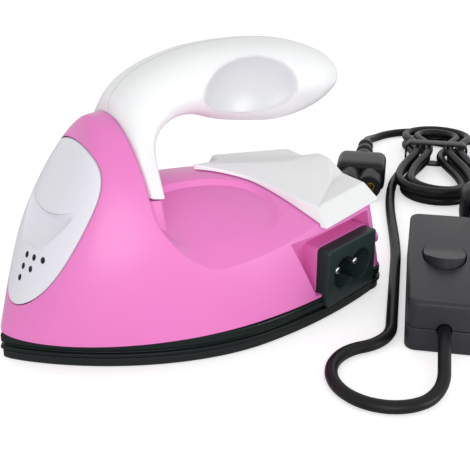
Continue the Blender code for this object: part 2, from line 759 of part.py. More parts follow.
def build_skirt():
    """Black tray under the shell: lip, groove and upper band, with a floor that carries the screws."""
    lip_top = SKIRT_BOTTOM + SKIRT_GROOVE + SKIRT_LIP_HEIGHT
    groove = SKIRT_LIP + SKIRT_GROOVE
    profile = [
        (SKIRT_BOTTOM, SKIRT_LIP),
        (SKIRT_BOTTOM + SKIRT_GROOVE / 2, 0.0),
        (lip_top - SKIRT_GROOVE / 2, 0.0),
        (lip_top, groove),
        (lip_top + SKIRT_GROOVE, groove),
        (lip_top + 2 * SKIRT_GROOVE, SKIRT_LIP / 2),
        (SKIRT_TOP - SKIRT_GROOVE, SKIRT_LIP / 2),
        (SKIRT_TOP, SKIRT_LIP),
    ]
    skirt = loft("base_skirt", [at_height(base_outline(inset), z) for z, inset in profile])
    pocket = base_outline(SKIRT_WALL + SKIRT_LIP / 2)
    cut(skirt, prism("pocket", pocket, FLOOR_TOP, SKIRT_TOP + OVERRUN))
    middle = NOSE_X + HEATER_PLACE
    half = HEATER_LENGTH / 2 + WINDOW_MARGIN
    side = HEATER_WIDTH / 2 + WINDOW_MARGIN
    cut(skirt, box("window", (middle - half, -side, 0.0), (middle + half, side, FLOOR_TOP + OVERRUN)))
    for x, y in base_screw_places():
        drill(skirt, (x, y, FLOOR_TOP), (0, 0, -1), SCREW_DIAMETER + 2 * GAP, SKIRT_FLOOR + OVERRUN)
    drill(skirt, (HEEL_X - THERMOSTAT_PLACE, 0.0, FLOOR_TOP), (0, 0, -1),
          THERMOSTAT_DIAMETER + 2 * OVERRUN, SKIRT_FLOOR + OVERRUN, 24)
    foot = INLET_BOTTOM - GAP
    half = INLET_WIDTH / 2 + GAP
    notch = box("notch", (-half, foot, -INLET_BODY_DEPTH - OVERRUN), (half, SKIRT_TOP + OVERRUN, OVERRUN),
                None, inlet_matrix())
    cut(skirt, notch)
    column = turned("column", [(COLUMN_DIAMETER / 2, FLOOR_TOP - SKIRT_FLOOR / 2),
                               (COLUMN_DIAMETER / 2, column_top())], 20,
                    None, Matrix.Translation((HEEL_X - COLUMN_PLACE, 0.0, 0.0)))
    join(skirt, column)
    drill(skirt, (HEEL_X - COLUMN_PLACE, 0.0, column_top()), (0, 0, -1),
          SCREW_DIAMETER + 2 * GAP, SCREW_LENGTH)
    return finish(skirt, BLACK_FINISH)


def column_top():
    x = HEEL_X - COLUMN_PLACE + COLUMN_DIAMETER / 2
    return deck_height(x, 0.0) - WALL - SCOOP_DEPTH - COLUMN_BOSS_HEIGHT - GAP


def build_shell():
    """Pink moulded body: hood, saddle deck, finger scoops, inlet box, heel pegs and a locating tongue."""
    tongue_foot = SHELL_BOTTOM - TONGUE_DEPTH
    rings = [at_height(base_outline(TONGUE_INSET), z) for z in (tongue_foot, SHELL_BOTTOM)]
    rings += [hull_section(z, 0.0) for z in hull_levels(SHELL_BOTTOM, 0.0)]
    shell = loft("body_shell", rings)
    cut(shell, deck_cutter(0.0, HOOD_REAR))
    for side in (-1, 1):
        cut(shell, scoop_cutter(side))
    join(shell, build_pedestal())
    cut(shell, slanted_recess(0.0, 0.0))
    join(shell, inlet_block())
    for side in (-1, 1):
        peg = turned("peg", [(PEG_DIAMETER / 2, -PEG_REACH - WALL * 2),
                             (PEG_DIAMETER / 2, -PEG_DIAMETER / 8),
                             (PEG_DIAMETER * 3 / 8, 0.0)], 16, None,
                     axis_matrix((HEEL_X + PEG_REACH, side * PEG_SPREAD, PEG_HEIGHT), (1, 0, 0)))
        join(shell, peg)
    inner_wall = TONGUE_INSET + TONGUE_WALL
    ledge = SHELL_BOTTOM + TONGUE_LEDGE
    rings = [at_height(base_outline(inner_wall), z) for z in (tongue_foot - OVERRUN, SHELL_BOTTOM)]
    rings.append(hull_section(ledge, inner_wall))
    rings += [hull_section(z, WALL) for z in hull_levels(ledge, WALL)]
    inner = loft("inner", rings)
    cut(inner, deck_cutter(WALL + SCOOP_DEPTH, HOOD_REAR - WALL))
    cut(inner, slanted_recess(WALL, WALL))
    cut(shell, inner)
    cut(shell, panel_block(GAP, -OVERRUN, PANEL_DEPTH - GAP))
    half = INLET_BODY_WIDTH / 2 + GAP
    middle = (INLET_BOTTOM + INLET_TOP) / 2
    tall = INLET_BODY_HEIGHT / 2 + GAP
    pocket = box("pocket", (-half, tongue_foot - OVERRUN, -INLET_SINK - WALL - OVERRUN * 2),
                 (half, middle + tall, OVERRUN), None, inlet_matrix())
    cut(shell, pocket)
    window = box("window", (HOOD_REAR - WALL * 2, -ROOT_HALF_WIDTH - GAP, ROOT_BOTTOM - GAP),
                 (HOOD_REAR + OVERRUN, ROOT_HALF_WIDTH + GAP, ROOT_TOP + GAP))
    cut(shell, window)
    for side in (-1, 1):
        x = HEEL_X - COVER_POST_PLACE
        y = side * COVER_POST_SPREAD
        drill(shell, (x, y, deck_height(x, y) + OVERRUN), (0, 0, -1),
              COVER_POST_DIAMETER + 2 * GAP, OVERRUN * 2 + COVER_POST_LENGTH)
    x = HEEL_X - COLUMN_PLACE
    boss = COLUMN_BOSS_DIAMETER / 2
    join(shell, turned("boss", [(boss, column_top() + GAP), (boss, deck_height(x, 0.0) - WALL)], 18, None,
                       Matrix.Translation((x, 0.0, 0.0))))
    drill(shell, (x, 0.0, deck_height(x, 0.0)), (0, 0, -1),
          SCREW_HEAD_DIAMETER + 2 * GAP, SCREW_HEAD_HEIGHT + SHELL_SCREW_SINK)
    drill(shell, (x, 0.0, deck_height(x, 0.0)), (0, 0, -1), SCREW_DIAMETER + 2 * GAP, SCREW_LENGTH)
    return finish(shell, PINK_FINISH)


def build_pedestal():
    """Pink foot that carries the leg of the handle on, below its white end, down into the deck."""
    foot = handle_ring(HANDLE_SHARES[0])
    drop = HANDLE_FOOT - GAP - DECK_EDGE
    depth = HANDLE_REACH * HANDLE_SHARES[0][2]
    rings = []
    for down, spread in PEDESTAL_SHARES:
        ring = []
        for x, y, z in foot:
            back = x - HOOD_REAR
            ring.append((HOOD_REAR + back * (1 + PEDESTAL_FLARE_SHARE * down) - (1 - back / depth) * OVERRUN,
                         y * spread, z - GAP - drop * down))
        rings.append(ring)
    return loft("pedestal", rings)


def inlet_block():
    half = INLET_WIDTH / 2
    return box("inlet_block", (-half, SHELL_BOTTOM, -INLET_SINK - WALL),
               (half, INLET_TOP, -INLET_FLANGE - GAP), None, inlet_matrix())


def panel_block(grow, front, back):
    """Block with the egg outline of the front panel, seen from the nose."""
    outline = []
    for step in range(PANEL_STEPS * 4):
        turn = step / (PANEL_STEPS * 4) * math.tau
        up = math.sin(turn)
        power = 2 / PANEL_TOP_SQUARE if up > 0 else 1.0
        tall = (PANEL_TOP - PANEL_WIDEST if up > 0 else PANEL_WIDEST - PANEL_BOTTOM) + grow
        across = math.copysign(abs(math.cos(turn)) ** power, math.cos(turn))
        outline.append(((PANEL_HALF_WIDTH + grow) * across,
                        PANEL_WIDEST + tall * math.copysign(abs(up) ** power, up)))
    start = NOSE_X + front
    end = HOOD_REAR - WALL - back
    return loft("panel_block", [[(x, y, z) for y, z in outline] for x in (start, end)])


def hull_nose_x(y, z):
    """Where the outer skin of the nose lies at a given offset and height."""
    share = z / HOOD_TOP
    half = (BASE_WIDTH / 2 - z * math.tan(WALL_DRAFT)) * (1 - share ** TOP_ROUND) ** 0.5
    nose = nose_line(z)
    widest = NOSE_X + BASE_LENGTH * WIDEST_SHARE
    along = 1 - (1 - (abs(y) / half) ** (NOSE_SQUARE + TOP_SQUARE * share)) ** (1 / (NOSE_BLUNT + TOP_BLUNT * share))
    return nose + (widest - nose) * along


def dish_cutter():
    """Inverted triangular scoop above the vents."""
    rings = []
    for down, wide, deep in DISH_SHARES:
        z = DISH_TOP - (DISH_TOP - DISH_BOTTOM) * down
        half = DISH_HALF_WIDTH * wide
        lift = DISH_LIFT * (1 - down)
        ring = []
        for step in range(DISH_STEPS + 1):
            across = -1 + 2 * step / DISH_STEPS
            sink = DISH_DEPTH * deep * (1 - abs(across) ** DISH_ROUND_SHARE)
            level = z + lift * across ** 2
            ring.append((hull_nose_x(half * across, level) + sink - GAP * abs(across), half * across, level))
        front = hull_nose_x(0.0, z) - OVERRUN
        ring += [(front, half, z + lift), (front, -half, z + lift)]
        rings.append(ring)
    return loft("dish", rings)


def build_panel():
    """Pale panel let into the nose, with a lap behind the shell, a dish and six vents."""
    panel = panel_block(0.0, -OVERRUN, PANEL_DEPTH)
    keep_common(panel, hull("skin", SHELL_BOTTOM, 0.0))
    lap = panel_block(PANEL_LAP, -OVERRUN, PANEL_DEPTH)
    keep_common(lap, hull("under_skin", SHELL_BOTTOM, WALL + GAP))
    join(panel, lap)
    cut(panel, hull("hollow", SHELL_BOTTOM - OVERRUN, PANEL_DEPTH))
    panel.name = "front_panel"
    cut(panel, dish_cutter())
    inward = (math.cos(NOSE_LEAN), 0.0, -math.sin(NOSE_LEAN))
    for row in range(VENT_ROWS):
        count = VENT_ROWS - row
        for number in range(count):
            y = -VENT_SIDE - number * VENT_PITCH
            z = VENT_TOP - row * VENT_ROW_PITCH + number * VENT_CLIMB
            drill(panel, (hull_nose_x(y, z), y, z), inward, VENT_DIAMETER, PANEL_DEPTH + OVERRUN * 2, 10)
    return finish(panel, PANEL_FINISH)


def handle_ring(row):
    top_x, top_z, under_x, under_z, wide, square = row
    top = Vector((HOOD_REAR + HANDLE_REACH * top_x, 0.0, HANDLE_FOOT + HANDLE_RISE * top_z))
    under = Vector((HOOD_REAR + HANDLE_REACH * under_x, 0.0, HANDLE_FOOT + HANDLE_RISE * under_z))
    middle = (top + under) / 2
    reach = (top - under) / 2
    ring = []
    for step in range(HANDLE_STEPS):
        turn = step / HANDLE_STEPS * math.tau
        power = 2 / (square if math.cos(turn) > 0 else HANDLE_UNDER_SQUARE)
        up = math.copysign(abs(math.cos(turn)) ** power, math.cos(turn))
        across = math.copysign(abs(math.sin(turn)) ** power, math.sin(turn))
        point = middle + reach * up
        ring.append((point.x, LEG_HALF_WIDTH * wide * across, point.z))
    return ring


def handle_form():
    """Whole handle with its root, before it is split into halves."""
    form = loft("handle", [handle_ring(row) for row in HANDLE_SHARES])
    bed = HOOD_REAR - WALL - GAP
    neck = box("neck", (bed - ROOT_COLLAR / 2, -ROOT_HALF_WIDTH, ROOT_BOTTOM),
               (HOOD_REAR + OVERRUN, ROOT_HALF_WIDTH, ROOT_TOP))
    rim = ROOT_HALF_WIDTH + ROOT_COLLAR_RIM
    collar = box("collar", (bed - ROOT_COLLAR, -rim, ROOT_BOTTOM - ROOT_COLLAR_RIM),
                 (bed, rim, ROOT_TOP + ROOT_COLLAR_RIM))
    join(neck, collar)
    join(form, neck)
    for side in (-1, 1):
        bm = bmesh.new()
        bmesh.ops.create_uvsphere(bm, u_segments=24, v_segments=14, radius=1.0)
        bmesh.ops.scale(bm, vec=(THUMB_HALF_LENGTH, THUMB_REACH, THUMB_HALF_HEIGHT), verts=bm.verts)
        hollow = place_mesh("thumb", bm, None, Matrix.Translation(
            (HOOD_REAR + THUMB_PLACE, side * THUMB_OUT, THUMB_HEIGHT)))
        cut(form, hollow)
    return form


def build_handle():
    """Two halves that close round the edge of the window in the hood, held by two cross screws."""
    pieces = []
    for name, side in (("handle_left", -1), ("handle_right", 1)):
        half = handle_form()
        half.name = name
        low = (HOOD_REAR - HANDLE_REACH, -GAP / 2 if side < 0 else -HANDLE_REACH, 0.0)
        high = (HOOD_REAR + HANDLE_REACH * 2, HANDLE_REACH if side < 0 else GAP / 2, HANDLE_REACH * 2)
        cut(half, box("other_side", low, high))
        for x, z in handle_screw_places():
            if side < 0:
                drill(half, (x, 0.0, z), (0, -1, 0), SCREW_DIAMETER + 2 * GAP, HANDLE_SCREW_BITE)
            else:
                seat = HANDLE_SCREW_SEAT
                drill(half, (x, seat, z), (0, -1, 0), SCREW_DIAMETER + 2 * GAP, seat + OVERRUN)
                drill(half, (x, LEG_HALF_WIDTH, z), (0, -1, 0),
                      SCREW_HEAD_DIAMETER + 2 * GAP, LEG_HALF_WIDTH - seat, 20)
        pieces.append(finish(half, WHITE_FINISH, 40.0))
    for name, (x, z) in zip(("handle_screw_front", "handle_screw_rear"), handle_screw_places()):
        pieces.append(screw(name, (x, HANDLE_SCREW_SEAT + GAP, z), (0, -1, 0),
                            HANDLE_SCREW_SEAT + HANDLE_SCREW_BITE - GAP))
    return pieces


def handle_screw_places():
    return [(HOOD_REAR + HANDLE_SCREW_FRONT, HANDLE_SCREW_FRONT_HEIGHT),
            (HOOD_REAR + HANDLE_SCREW_REAR, HANDLE_SCREW_REAR_HEIGHT)]


def cover_ridge(back):
    """Height of the ridge line of the cover's front facets, `back` metres before the heel."""
    slope = (COVER_TIP_HEIGHT - COVER_NOTCH_HEIGHT) / (COVER_TIP - COVER_NOTCH)
    return COVER_TIP_HEIGHT + slope * (back - COVER_TIP)


def facet_point(back, across):
    """Point on a front facet; both facets fall from the ridge to the shoulders."""
    fall = (cover_ridge(COVER_SHOULDER) - COVER_SHOULDER_HEIGHT) / COVER_SHOULDER_HALF
    return (HEEL_X - back, across, cover_ridge(back) - fall * abs(across))


def build_cover():
    """Faceted rear cover: two front facets, a V notch with a step, two rear panels and a heel fin."""
    bm = bmesh.new()

    def corner(point):
        return bm.verts.new(point)

    notch = corner(facet_point(COVER_NOTCH, 0.0))
    tip = corner(facet_point(COVER_TIP, 0.0))
    heel_x = HEEL_X - COVER_HEEL
    sides = {}
    for side in (-1, 1):
        edge = [corner(facet_point(COVER_TIP + (COVER_SHOULDER - COVER_TIP) * along,
                                   side * COVER_SHOULDER_HALF * across))
                for along, across in COVER_EDGE_SHARES]
        sides[side] = {
            "edge": edge,
            "shoulder": corner(facet_point(COVER_SHOULDER, side * COVER_SHOULDER_HALF)),
            "valley": corner(facet_point(COVER_VALLEY, side * COVER_VALLEY_HALF)),
            "step": corner((HEEL_X - COVER_VALLEY + COVER_STEP / 4, side * COVER_VALLEY_HALF,
                            facet_point(COVER_VALLEY, COVER_VALLEY_HALF)[2] - COVER_STEP)),
            "heel": corner((heel_x, side * COVER_HEEL_HALF, COVER_HEEL_HEIGHT)),
            "foot": corner((heel_x, side * COVER_FIN_FOOT, COVER_HEEL_HEIGHT)),
            "fin": corner((heel_x, side * COVER_FIN_HALF, COVER_FIN_HEIGHT)),
        }
    for side, at in sides.items():
        bm.faces.new([tip] + at["edge"] + [at["shoulder"], at["valley"], notch])
        bm.faces.new((at["shoulder"], at["valley"], at["step"]))
        bm.faces.new((at["shoulder"], at["step"], at["foot"]))
        bm.faces.new((at["shoulder"], at["foot"], at["heel"]))
        bm.faces.new((notch, at["valley"], at["fin"]))
        bm.faces.new((at["valley"], at["step"], at["fin"]))
        bm.faces.new((at["step"], at["foot"], at["fin"]))
    left, right = sides[-1], sides[1]
    bm.faces.new((notch, left["fin"], right["fin"]))
    rim = ([tip] + left["edge"] + [left["shoulder"], left["heel"], left["foot"], left["fin"], right["fin"],
                                   right["foot"], right["heel"], right["shoulder"]]
           + list(reversed(right["edge"])))
    shoulders = (left["shoulder"], right["shoulder"])
    heels = (left["heel"], right["heel"])
    backs = (left["foot"], left["fin"], right["fin"], right["foot"])
    lower = []
    for vert in rim:
        x, y, z = vert.co
        if vert in shoulders:
            x, z = x + GAP, COVER_SKIRT_FOOT
            y = math.copysign(wall_half(x, z) + COVER_LAP, y)
        elif vert in heels:
            x, z = x + COVER_HEEL_FLARE, COVER_HEEL_FOOT
            y = math.copysign(wall_half(x, z) + COVER_LAP, y)
        elif vert in backs:
            x, z = x + COVER_HEEL_FLARE, COVER_HEEL_FOOT
        else:
            z = COVER_SKIRT_FOOT
        lower.append(corner((x, y, z)))
    for here in range(len(rim)):
        after = (here + 1) % len(rim)
        bm.faces.new((rim[here], rim[after], lower[after], lower[here]))
    bm.faces.new(lower)
    cover = place_mesh("rear_cover", bm)
    seat = hull("seat", SHELL_BOTTOM, -GAP)
    cut(seat, deck_cutter(-GAP, HOOD_REAR))
    cut(cover, seat)
    for side in (-1, 1):
        x = HEEL_X - COVER_POST_PLACE
        y = side * COVER_POST_SPREAD
        top = deck_height(x, y)
        post = turned("post", [(COVER_POST_DIAMETER / 2, top - COVER_POST_LENGTH),
                               (COVER_POST_DIAMETER / 2, top + GAP * 3)], 16, None,
                      Matrix.Translation((x, y, 0.0)))
        join(cover, post)
    return finish(cover, WHITE_FINISH)


def build_inlet():
    """Black two-pin inlet with a figure-8 socket, and its pins."""
    matrix = inlet_matrix()
    middle = (INLET_BOTTOM + INLET_TOP) / 2
    lift = Matrix.Translation((0.0, middle, 0.0))
    frame = matrix @ lift
    flange = rounded_box_outline(INLET_WIDTH, INLET_TOP - INLET_BOTTOM, INLET_CORNER)
    housing = prism("inlet_housing", flange, -INLET_FLANGE, 0.0, None, frame)
    body = rounded_box_outline(INLET_BODY_WIDTH, INLET_BODY_HEIGHT, INLET_CORNER)
    join(housing, prism("body", body, -INLET_BODY_DEPTH, -INLET_FLANGE / 2, None, frame))
    offset = SOCKET_WIDTH / 2 - SOCKET_RADIUS
    for side in (-1, 1):
        lobe = prism("lobe", circle(SOCKET_RADIUS, 24, (side * offset, 0.0)), -SOCKET_DEPTH, OVERRUN, None, frame)
        cut(housing, lobe)
    pieces = []
    radius = PIN_DIAMETER / 2
    for name, side in (("inlet_pin_front", -1), ("inlet_pin_rear", 1)):
        drilled = prism("hole", circle(radius + GAP, 12, (side * PIN_PITCH / 2, 0.0)),
                        -INLET_BODY_DEPTH - OVERRUN, -SOCKET_DEPTH + OVERRUN, None, frame)
        cut(housing, drilled)
        profile = [(radius, -INLET_BODY_DEPTH - PIN_TAIL), (radius, -PIN_SETBACK - radius / 2),
                   (radius / 2, -PIN_SETBACK)]
        pin = turned(name, profile, 12, None, frame @ Matrix.Translation((side * PIN_PITCH / 2, 0.0, 0.0)))
        pieces.append(finish(pin, STEEL_FINISH))
    return [finish(housing, BLACK_FINISH)] + pieces


def build_heating():
    """Heater block, its clamp and screws, thermostat, thermal fuse and the base screws."""
    floor = SOLE_THICKNESS + GAP
    middle = NOSE_X + HEATER_PLACE
    block = prism("heater_block", rounded_box_outline(HEATER_LENGTH, HEATER_WIDTH, GAP * 4, 2),
                  floor, floor + HEATER_THICKNESS, None, Matrix.Translation((middle, 0.0, 0.0)))
    pieces = [finish(block, CERAMIC_FINISH)]
    bed = floor + HEATER_THICKNESS + GAP
    clamp = prism("heater_clamp", rounded_box_outline(CLAMP_LENGTH, CLAMP_WIDTH, CLAMP_WIDTH / 4),
                  bed, bed + CLAMP_THICKNESS, None, Matrix.Translation((middle, 0.0, 0.0)))
    top = bed + CLAMP_THICKNESS
    for x, y in clamp_screw_places():
        drill(clamp, (x, y, top), (0, 0, -1), SCREW_DIAMETER + 2 * GAP, CLAMP_THICKNESS + OVERRUN)
    pieces.append(finish(clamp, STEEL_FINISH))
    tip = SOLE_THICKNESS - SOLE_PILOT_DEPTH + GAP
    for name, (x, y) in zip(("clamp_screw_front", "clamp_screw_rear"), clamp_screw_places()):
        pieces.append(screw(name, (x, y, top + GAP), (0, 0, -1), top + GAP - tip))
    for name, (x, y) in zip(("base_screw_front", "base_screw_left", "base_screw_right"), base_screw_places()):
        pieces.append(screw(name, (x, y, FLOOR_TOP + GAP), (0, 0, -1), FLOOR_TOP + GAP - tip))
    radius = THERMOSTAT_DIAMETER / 2
    step = floor + THERMOSTAT_HEIGHT * THERMOSTAT_STEP_SHARE
    cap = radius * THERMOSTAT_CAP_SHARE
    profile = [(radius, floor), (radius, step), (cap, step), (cap, floor + THERMOSTAT_HEIGHT)]
    thermostat = turned("thermostat", profile, 24, None,
                        Matrix.Translation((HEEL_X - THERMOSTAT_PLACE, 0.0, 0.0)))
    pieces.append(finish(thermostat, STEEL_FINISH))
    fuse_z = top + GAP + FUSE_DIAMETER / 2
    radius = FUSE_DIAMETER / 2
    body = FUSE_LENGTH * FUSE_BODY_SHARE
    profile = [(radius * FUSE_TIP_SHARE, -FUSE_LENGTH / 2), (radius, -body), (radius, body),
               (radius * FUSE_TIP_SHARE, FUSE_LENGTH / 2)]
    fuse = turned("thermal_fuse", profile, 16, None, axis_matrix((middle, 0.0, fuse_z), (1, 0, 0)))
    pieces.append(finish(fuse, CERAMIC_FINISH))
    x = HEEL_X - COLUMN_PLACE
    seat = deck_height(x, 0.0) - SCREW_HEAD_HEIGHT - SHELL_SCREW_SINK
    pieces.append(screw("shell_screw", (x, 0.0, seat + GAP), (0, 0, -1), SCREW_LENGTH * SHELL_SCREW_SHARE))
    return pieces


def lead_wires():
    """Insulated wires from the inlet pins to the thermostat and heater, and on through the fuse."""
    frame = inlet_matrix()
    middle = (INLET_BOTTOM + INLET_TOP) / 2
    tail = -INLET_BODY_DEPTH - PIN_TAIL - GAP
    front = frame @ Vector((-PIN_PITCH / 2, middle, tail))
    rear = frame @ Vector((PIN_PITCH / 2, middle, tail))
    inward = frame.to_3x3() @ Vector((0.0, 0.0, -WIRE_DIAMETER * 2))
    top = SOLE_THICKNESS + GAP + THERMOSTAT_HEIGHT + GAP
    thermostat = Vector((HEEL_X - THERMOSTAT_PLACE, -THERMOSTAT_DIAMETER / 4, top))
    lift = Vector((0.0, 0.0, WIRE_DIAMETER * 2))
    middle_x = NOSE_X + HEATER_PLACE
    fuse_z = SOLE_THICKNESS + HEATER_THICKNESS + CLAMP_THICKNESS + 3 * GAP + FUSE_DIAMETER / 2
    bow = Vector((WIRE_DIAMETER * 2, 0.0, 0.0))
    fuse_rear = Vector((middle_x + FUSE_LENGTH / 2 + GAP, 0.0, fuse_z))
    fuse_front = Vector((middle_x - FUSE_LENGTH / 2 - GAP, 0.0, fuse_z))
    heater = SOLE_THICKNESS + HEATER_THICKNESS + 2 * GAP
    side = CLAMP_WIDTH / 2 + WIRE_DIAMETER / 2 + GAP
    heater_front = Vector((middle_x - HEATER_LENGTH / 4, -side, heater))
    heater_rear = Vector((middle_x + HEATER_LENGTH / 4, side, heater))
    relay = Vector((HEEL_X - THERMOSTAT_PLACE, THERMOSTAT_DIAMETER / 4, top))
    paths = {
        "wire_inlet_live": [front, front + inward, thermostat + lift * 2, thermostat],
        "wire_inlet_neutral": [rear, rear + inward, (rear + heater_rear) / 2 + lift * 3,
                               heater_rear + lift * 2, heater_rear],
        "wire_fuse_rear": [relay, relay + lift, (relay + fuse_rear) / 2 + lift, fuse_rear + bow, fuse_rear],
        "wire_fuse_front": [fuse_front, fuse_front - bow, heater_front + lift, heater_front],
    }
    return [tube(name, smooth_path(knots, WIRE_DIAMETER * 3), WIRE_DIAMETER, CORD_FINISH, 1)
            for name, knots in paths.items()]


# Cord set
def set_matrix():
    """Frame of the cord set: local X runs through the switch and along the hank, away from the iron."""
    return Matrix.Translation((SET_X, SET_Y, 0.0)) @ Matrix.Rotation(SET_TURN, 4, "Z")


def smooth(share):
    share = min(max(share, 0.0), 1.0)
    return share * share * (3 - 2 * share)


def trace(start, heading, legs):
    """Level path made of straight legs and turns; a positive radius turns left."""
    x, y = start
    points = [(x, y)]
    for length, radius in legs:
        count = max(1, round(length / CORD_STEP * (1 if radius == 0 else 2)))
        bend = length / count / radius if radius else 0.0
        step = 2 * abs(radius) * math.sin(abs(bend) / 2) if radius else length / count
        for number in range(count):
            x += step * math.cos(heading + bend / 2)
            y += step * math.sin(heading + bend / 2)
            heading += bend
            points.append((x, y))
    return points


def hank_point(loops):
    """Point of the hank after a number of loops: two flat spirals, pulled in at the tie."""
    first, second, last = LAYER_LOOPS_SHARES
    if loops < first:
        radius = HANK_RADIUS - HANK_PITCH * loops
    else:
        radius = HANK_RADIUS - HANK_PITCH * first + HANK_PITCH * max(loops - second, 0.0)
    height = cord_rest() + HANK_LAYER * smooth((loops - first) / (second - first))
    part = (loops % 1.0) * 4
    run = HANK_FAR - HANK_NEAR
    if part < 1:
        u, v = HANK_NEAR + run * part, radius
    elif part < 2:
        turn = (part - 1) * math.pi
        u, v = HANK_FAR + radius * math.sin(turn), radius * math.cos(turn)
    elif part < 3:
        u, v = HANK_FAR - run * (part - 2), -radius
    else:
        turn = (part - 3) * math.pi
        u, v = HANK_NEAR - radius * math.sin(turn), -radius * math.cos(turn)
    waist = math.exp(-((u - TIE_PLACE) / HANK_WAIST) ** 2)
    side = math.copysign(max(abs(v) - HANK_PULL * waist, 0.0), v)
    return Vector((u, side, height + TIE_LIFT * waist))


def cord_rest():
    return CORD_DIAMETER / 2 + FLOOR_GAP


def plug_height():
    """Height of the plug's middle as it lies on the short cord beside the hank."""
    return cord_rest() + CORD_DIAMETER / 2 + GAP + PLUG_THICKNESS / 2


def lane_path():
    """From inside the switch round a bend and along the lane to the start of the hank."""
    entry = SWITCH_PARTING + GAP / 2
    inner = SWITCH_LENGTH / 2 - CORD_ENTRY
    extra = math.acos(LANE_SIDE / (2 * BULB_RADIUS))
    plan = trace((-inner, 0.0), math.pi, [
        (BULB_PLACE - inner, 0.0),
        (BULB_RADIUS * (math.pi + extra), -BULB_RADIUS),
        (BULB_RADIUS * extra, BULB_RADIUS),
    ])
    points = []
    gone = 0.0
    before = plan[0]
    for x, y in plan:
        gone += math.dist(before, (x, y))
        before = (x, y)
        fall = smooth((gone - CORD_ENTRY) / SHORT_CORD_FALL)
        points.append(Vector((x, y, entry + (cord_rest() - entry) * fall)))
    lane_start = points[-1].x
    lane_end = HANK_NEAR - CORD_DIAMETER - GAP
    count = round((lane_end - lane_start) / CORD_STEP)
    for number in range(1, count + 1):
        u = lane_start + (lane_end - lane_start) * number / count
        shift = smooth((u - LANE_SHIFT_START) / LANE_SHIFT_LENGTH)
        points.append(Vector((u, LANE_SIDE + (HANK_RADIUS - LANE_SIDE) * shift, cord_rest())))
    return points


def hank_path():
    """The wound length, with a straight end of one cord diameter at each side."""
    last = LAYER_LOOPS_SHARES[-1]
    steps = round(last * HANK_STEPS)
    points = [hank_point(0.0) - Vector((CORD_DIAMETER, 0.0, 0.0))]
    points += [hank_point(last * number / steps) for number in range(steps + 1)]
    leave = last + (HANK_FAR - LEAD_START) / (HANK_FAR - HANK_NEAR) / 4
    points += [hank_point(last + (leave - last) * number / LEAVE_STEPS) for number in range(1, LEAVE_STEPS + 1)]
    return points + [points[-1] + (points[-1] - points[-2]).normalized() * CORD_DIAMETER]


def lead_path():
    """From the hank on past its near end, up to the plug beside it."""
    wound = hank_path()
    heading = (wound[-1] - wound[-2]).normalized()
    points = [wound[-1] + heading * GAP]
    start = points[0] + heading * CORD_DIAMETER
    offset = HANK_PULL * math.exp(-((start.x - TIE_PLACE) / HANK_WAIST) ** 2) - HANK_RADIUS - start.y
    for number in range(LEAD_STEPS + 1):
        share = number / LEAD_STEPS
        u = start.x - LEAD_LENGTH * share
        waist = math.exp(-((u - TIE_PLACE) / HANK_WAIST) ** 2)
        side = HANK_RADIUS - HANK_PULL * waist + offset * (1 - smooth(share))
        points.append(Vector((u, -side, start.z + (plug_height() - start.z) * smooth(share))))
    points.append(points[-1] - Vector((CORD_DIAMETER, 0.0, 0.0)))
    return points


def short_cord_path():
    """From the far end of the switch, round the outside of the hank, to the connector."""
    entry = SWITCH_PARTING + GAP / 2
    inner = SWITCH_LENGTH / 2 - CORD_ENTRY
    turn = math.acos(1 - SHORT_CORD_SIDE / (2 * BULB_RADIUS))
    lead = CORD_ENTRY + GAP
    shifted = inner + lead + 2 * BULB_RADIUS * math.sin(turn)
    far = (SHORT_CORD_SIDE + CONNECTOR_SIDE) / 2
    plan = trace((inner, 0.0), 0.0, [
        (lead, 0.0),
        (BULB_RADIUS * turn, -BULB_RADIUS),
        (BULB_RADIUS * turn, BULB_RADIUS),
        (HANK_FAR - shifted, 0.0),
        (far * math.pi, far),
        (HANK_FAR - CONNECTOR_END - GAP, 0.0),
    ])
    total = sum(math.dist(here, after) for here, after in zip(plan, plan[1:]))
    points = []
    gone = 0.0
    before = plan[0]
    for x, y in plan:
        gone += math.dist(before, (x, y))
        before = (x, y)
        height = entry + (cord_rest() - entry) * smooth((gone - CORD_ENTRY) / SHORT_CORD_FALL)
        rise = smooth((gone - total + SHORT_CORD_RISE) / SHORT_CORD_RISE)
        points.append(Vector((x, y, height + (CONNECTOR_THICKNESS / 2 + FLOOR_GAP - height) * rise)))
    return points


def path_length(points):
    return sum((after - here).length for here, after in zip(points, points[1:]))


def least_gap(points, others, skip):
    """Smallest clear distance between cord strands, leaving out neighbours along the same cord."""
    least = math.inf
    for i, here in enumerate(points):
        for j, there in enumerate(others):
            if points is others and abs(i - j) < skip:
                continue
            least = min(least, (here - there).length - CORD_DIAMETER)
    return least


def build_cords():
    world = set_matrix()
    pieces = []
    paths = {"cord_lane": lane_path(), "cord_hank": hank_path(), "cord_lead": lead_path(),
             "cord_short": short_cord_path()}
    for name, points in paths.items():
        print(name, "length", round(path_length(points), 4), "points", len(points))
        sides = 1 if name == "cord_hank" else 2
        pieces.append(tube(name, [world @ point for point in points], CORD_DIAMETER, CORD_FINISH, sides))
    long_cord = paths["cord_lane"] + paths["cord_hank"] + paths["cord_lead"]
    print("least gap of the long cord to itself", round(least_gap(long_cord, long_cord, 5), 5),
          "and to the short cord", round(least_gap(long_cord, paths["cord_short"], 0), 5))
    return pieces


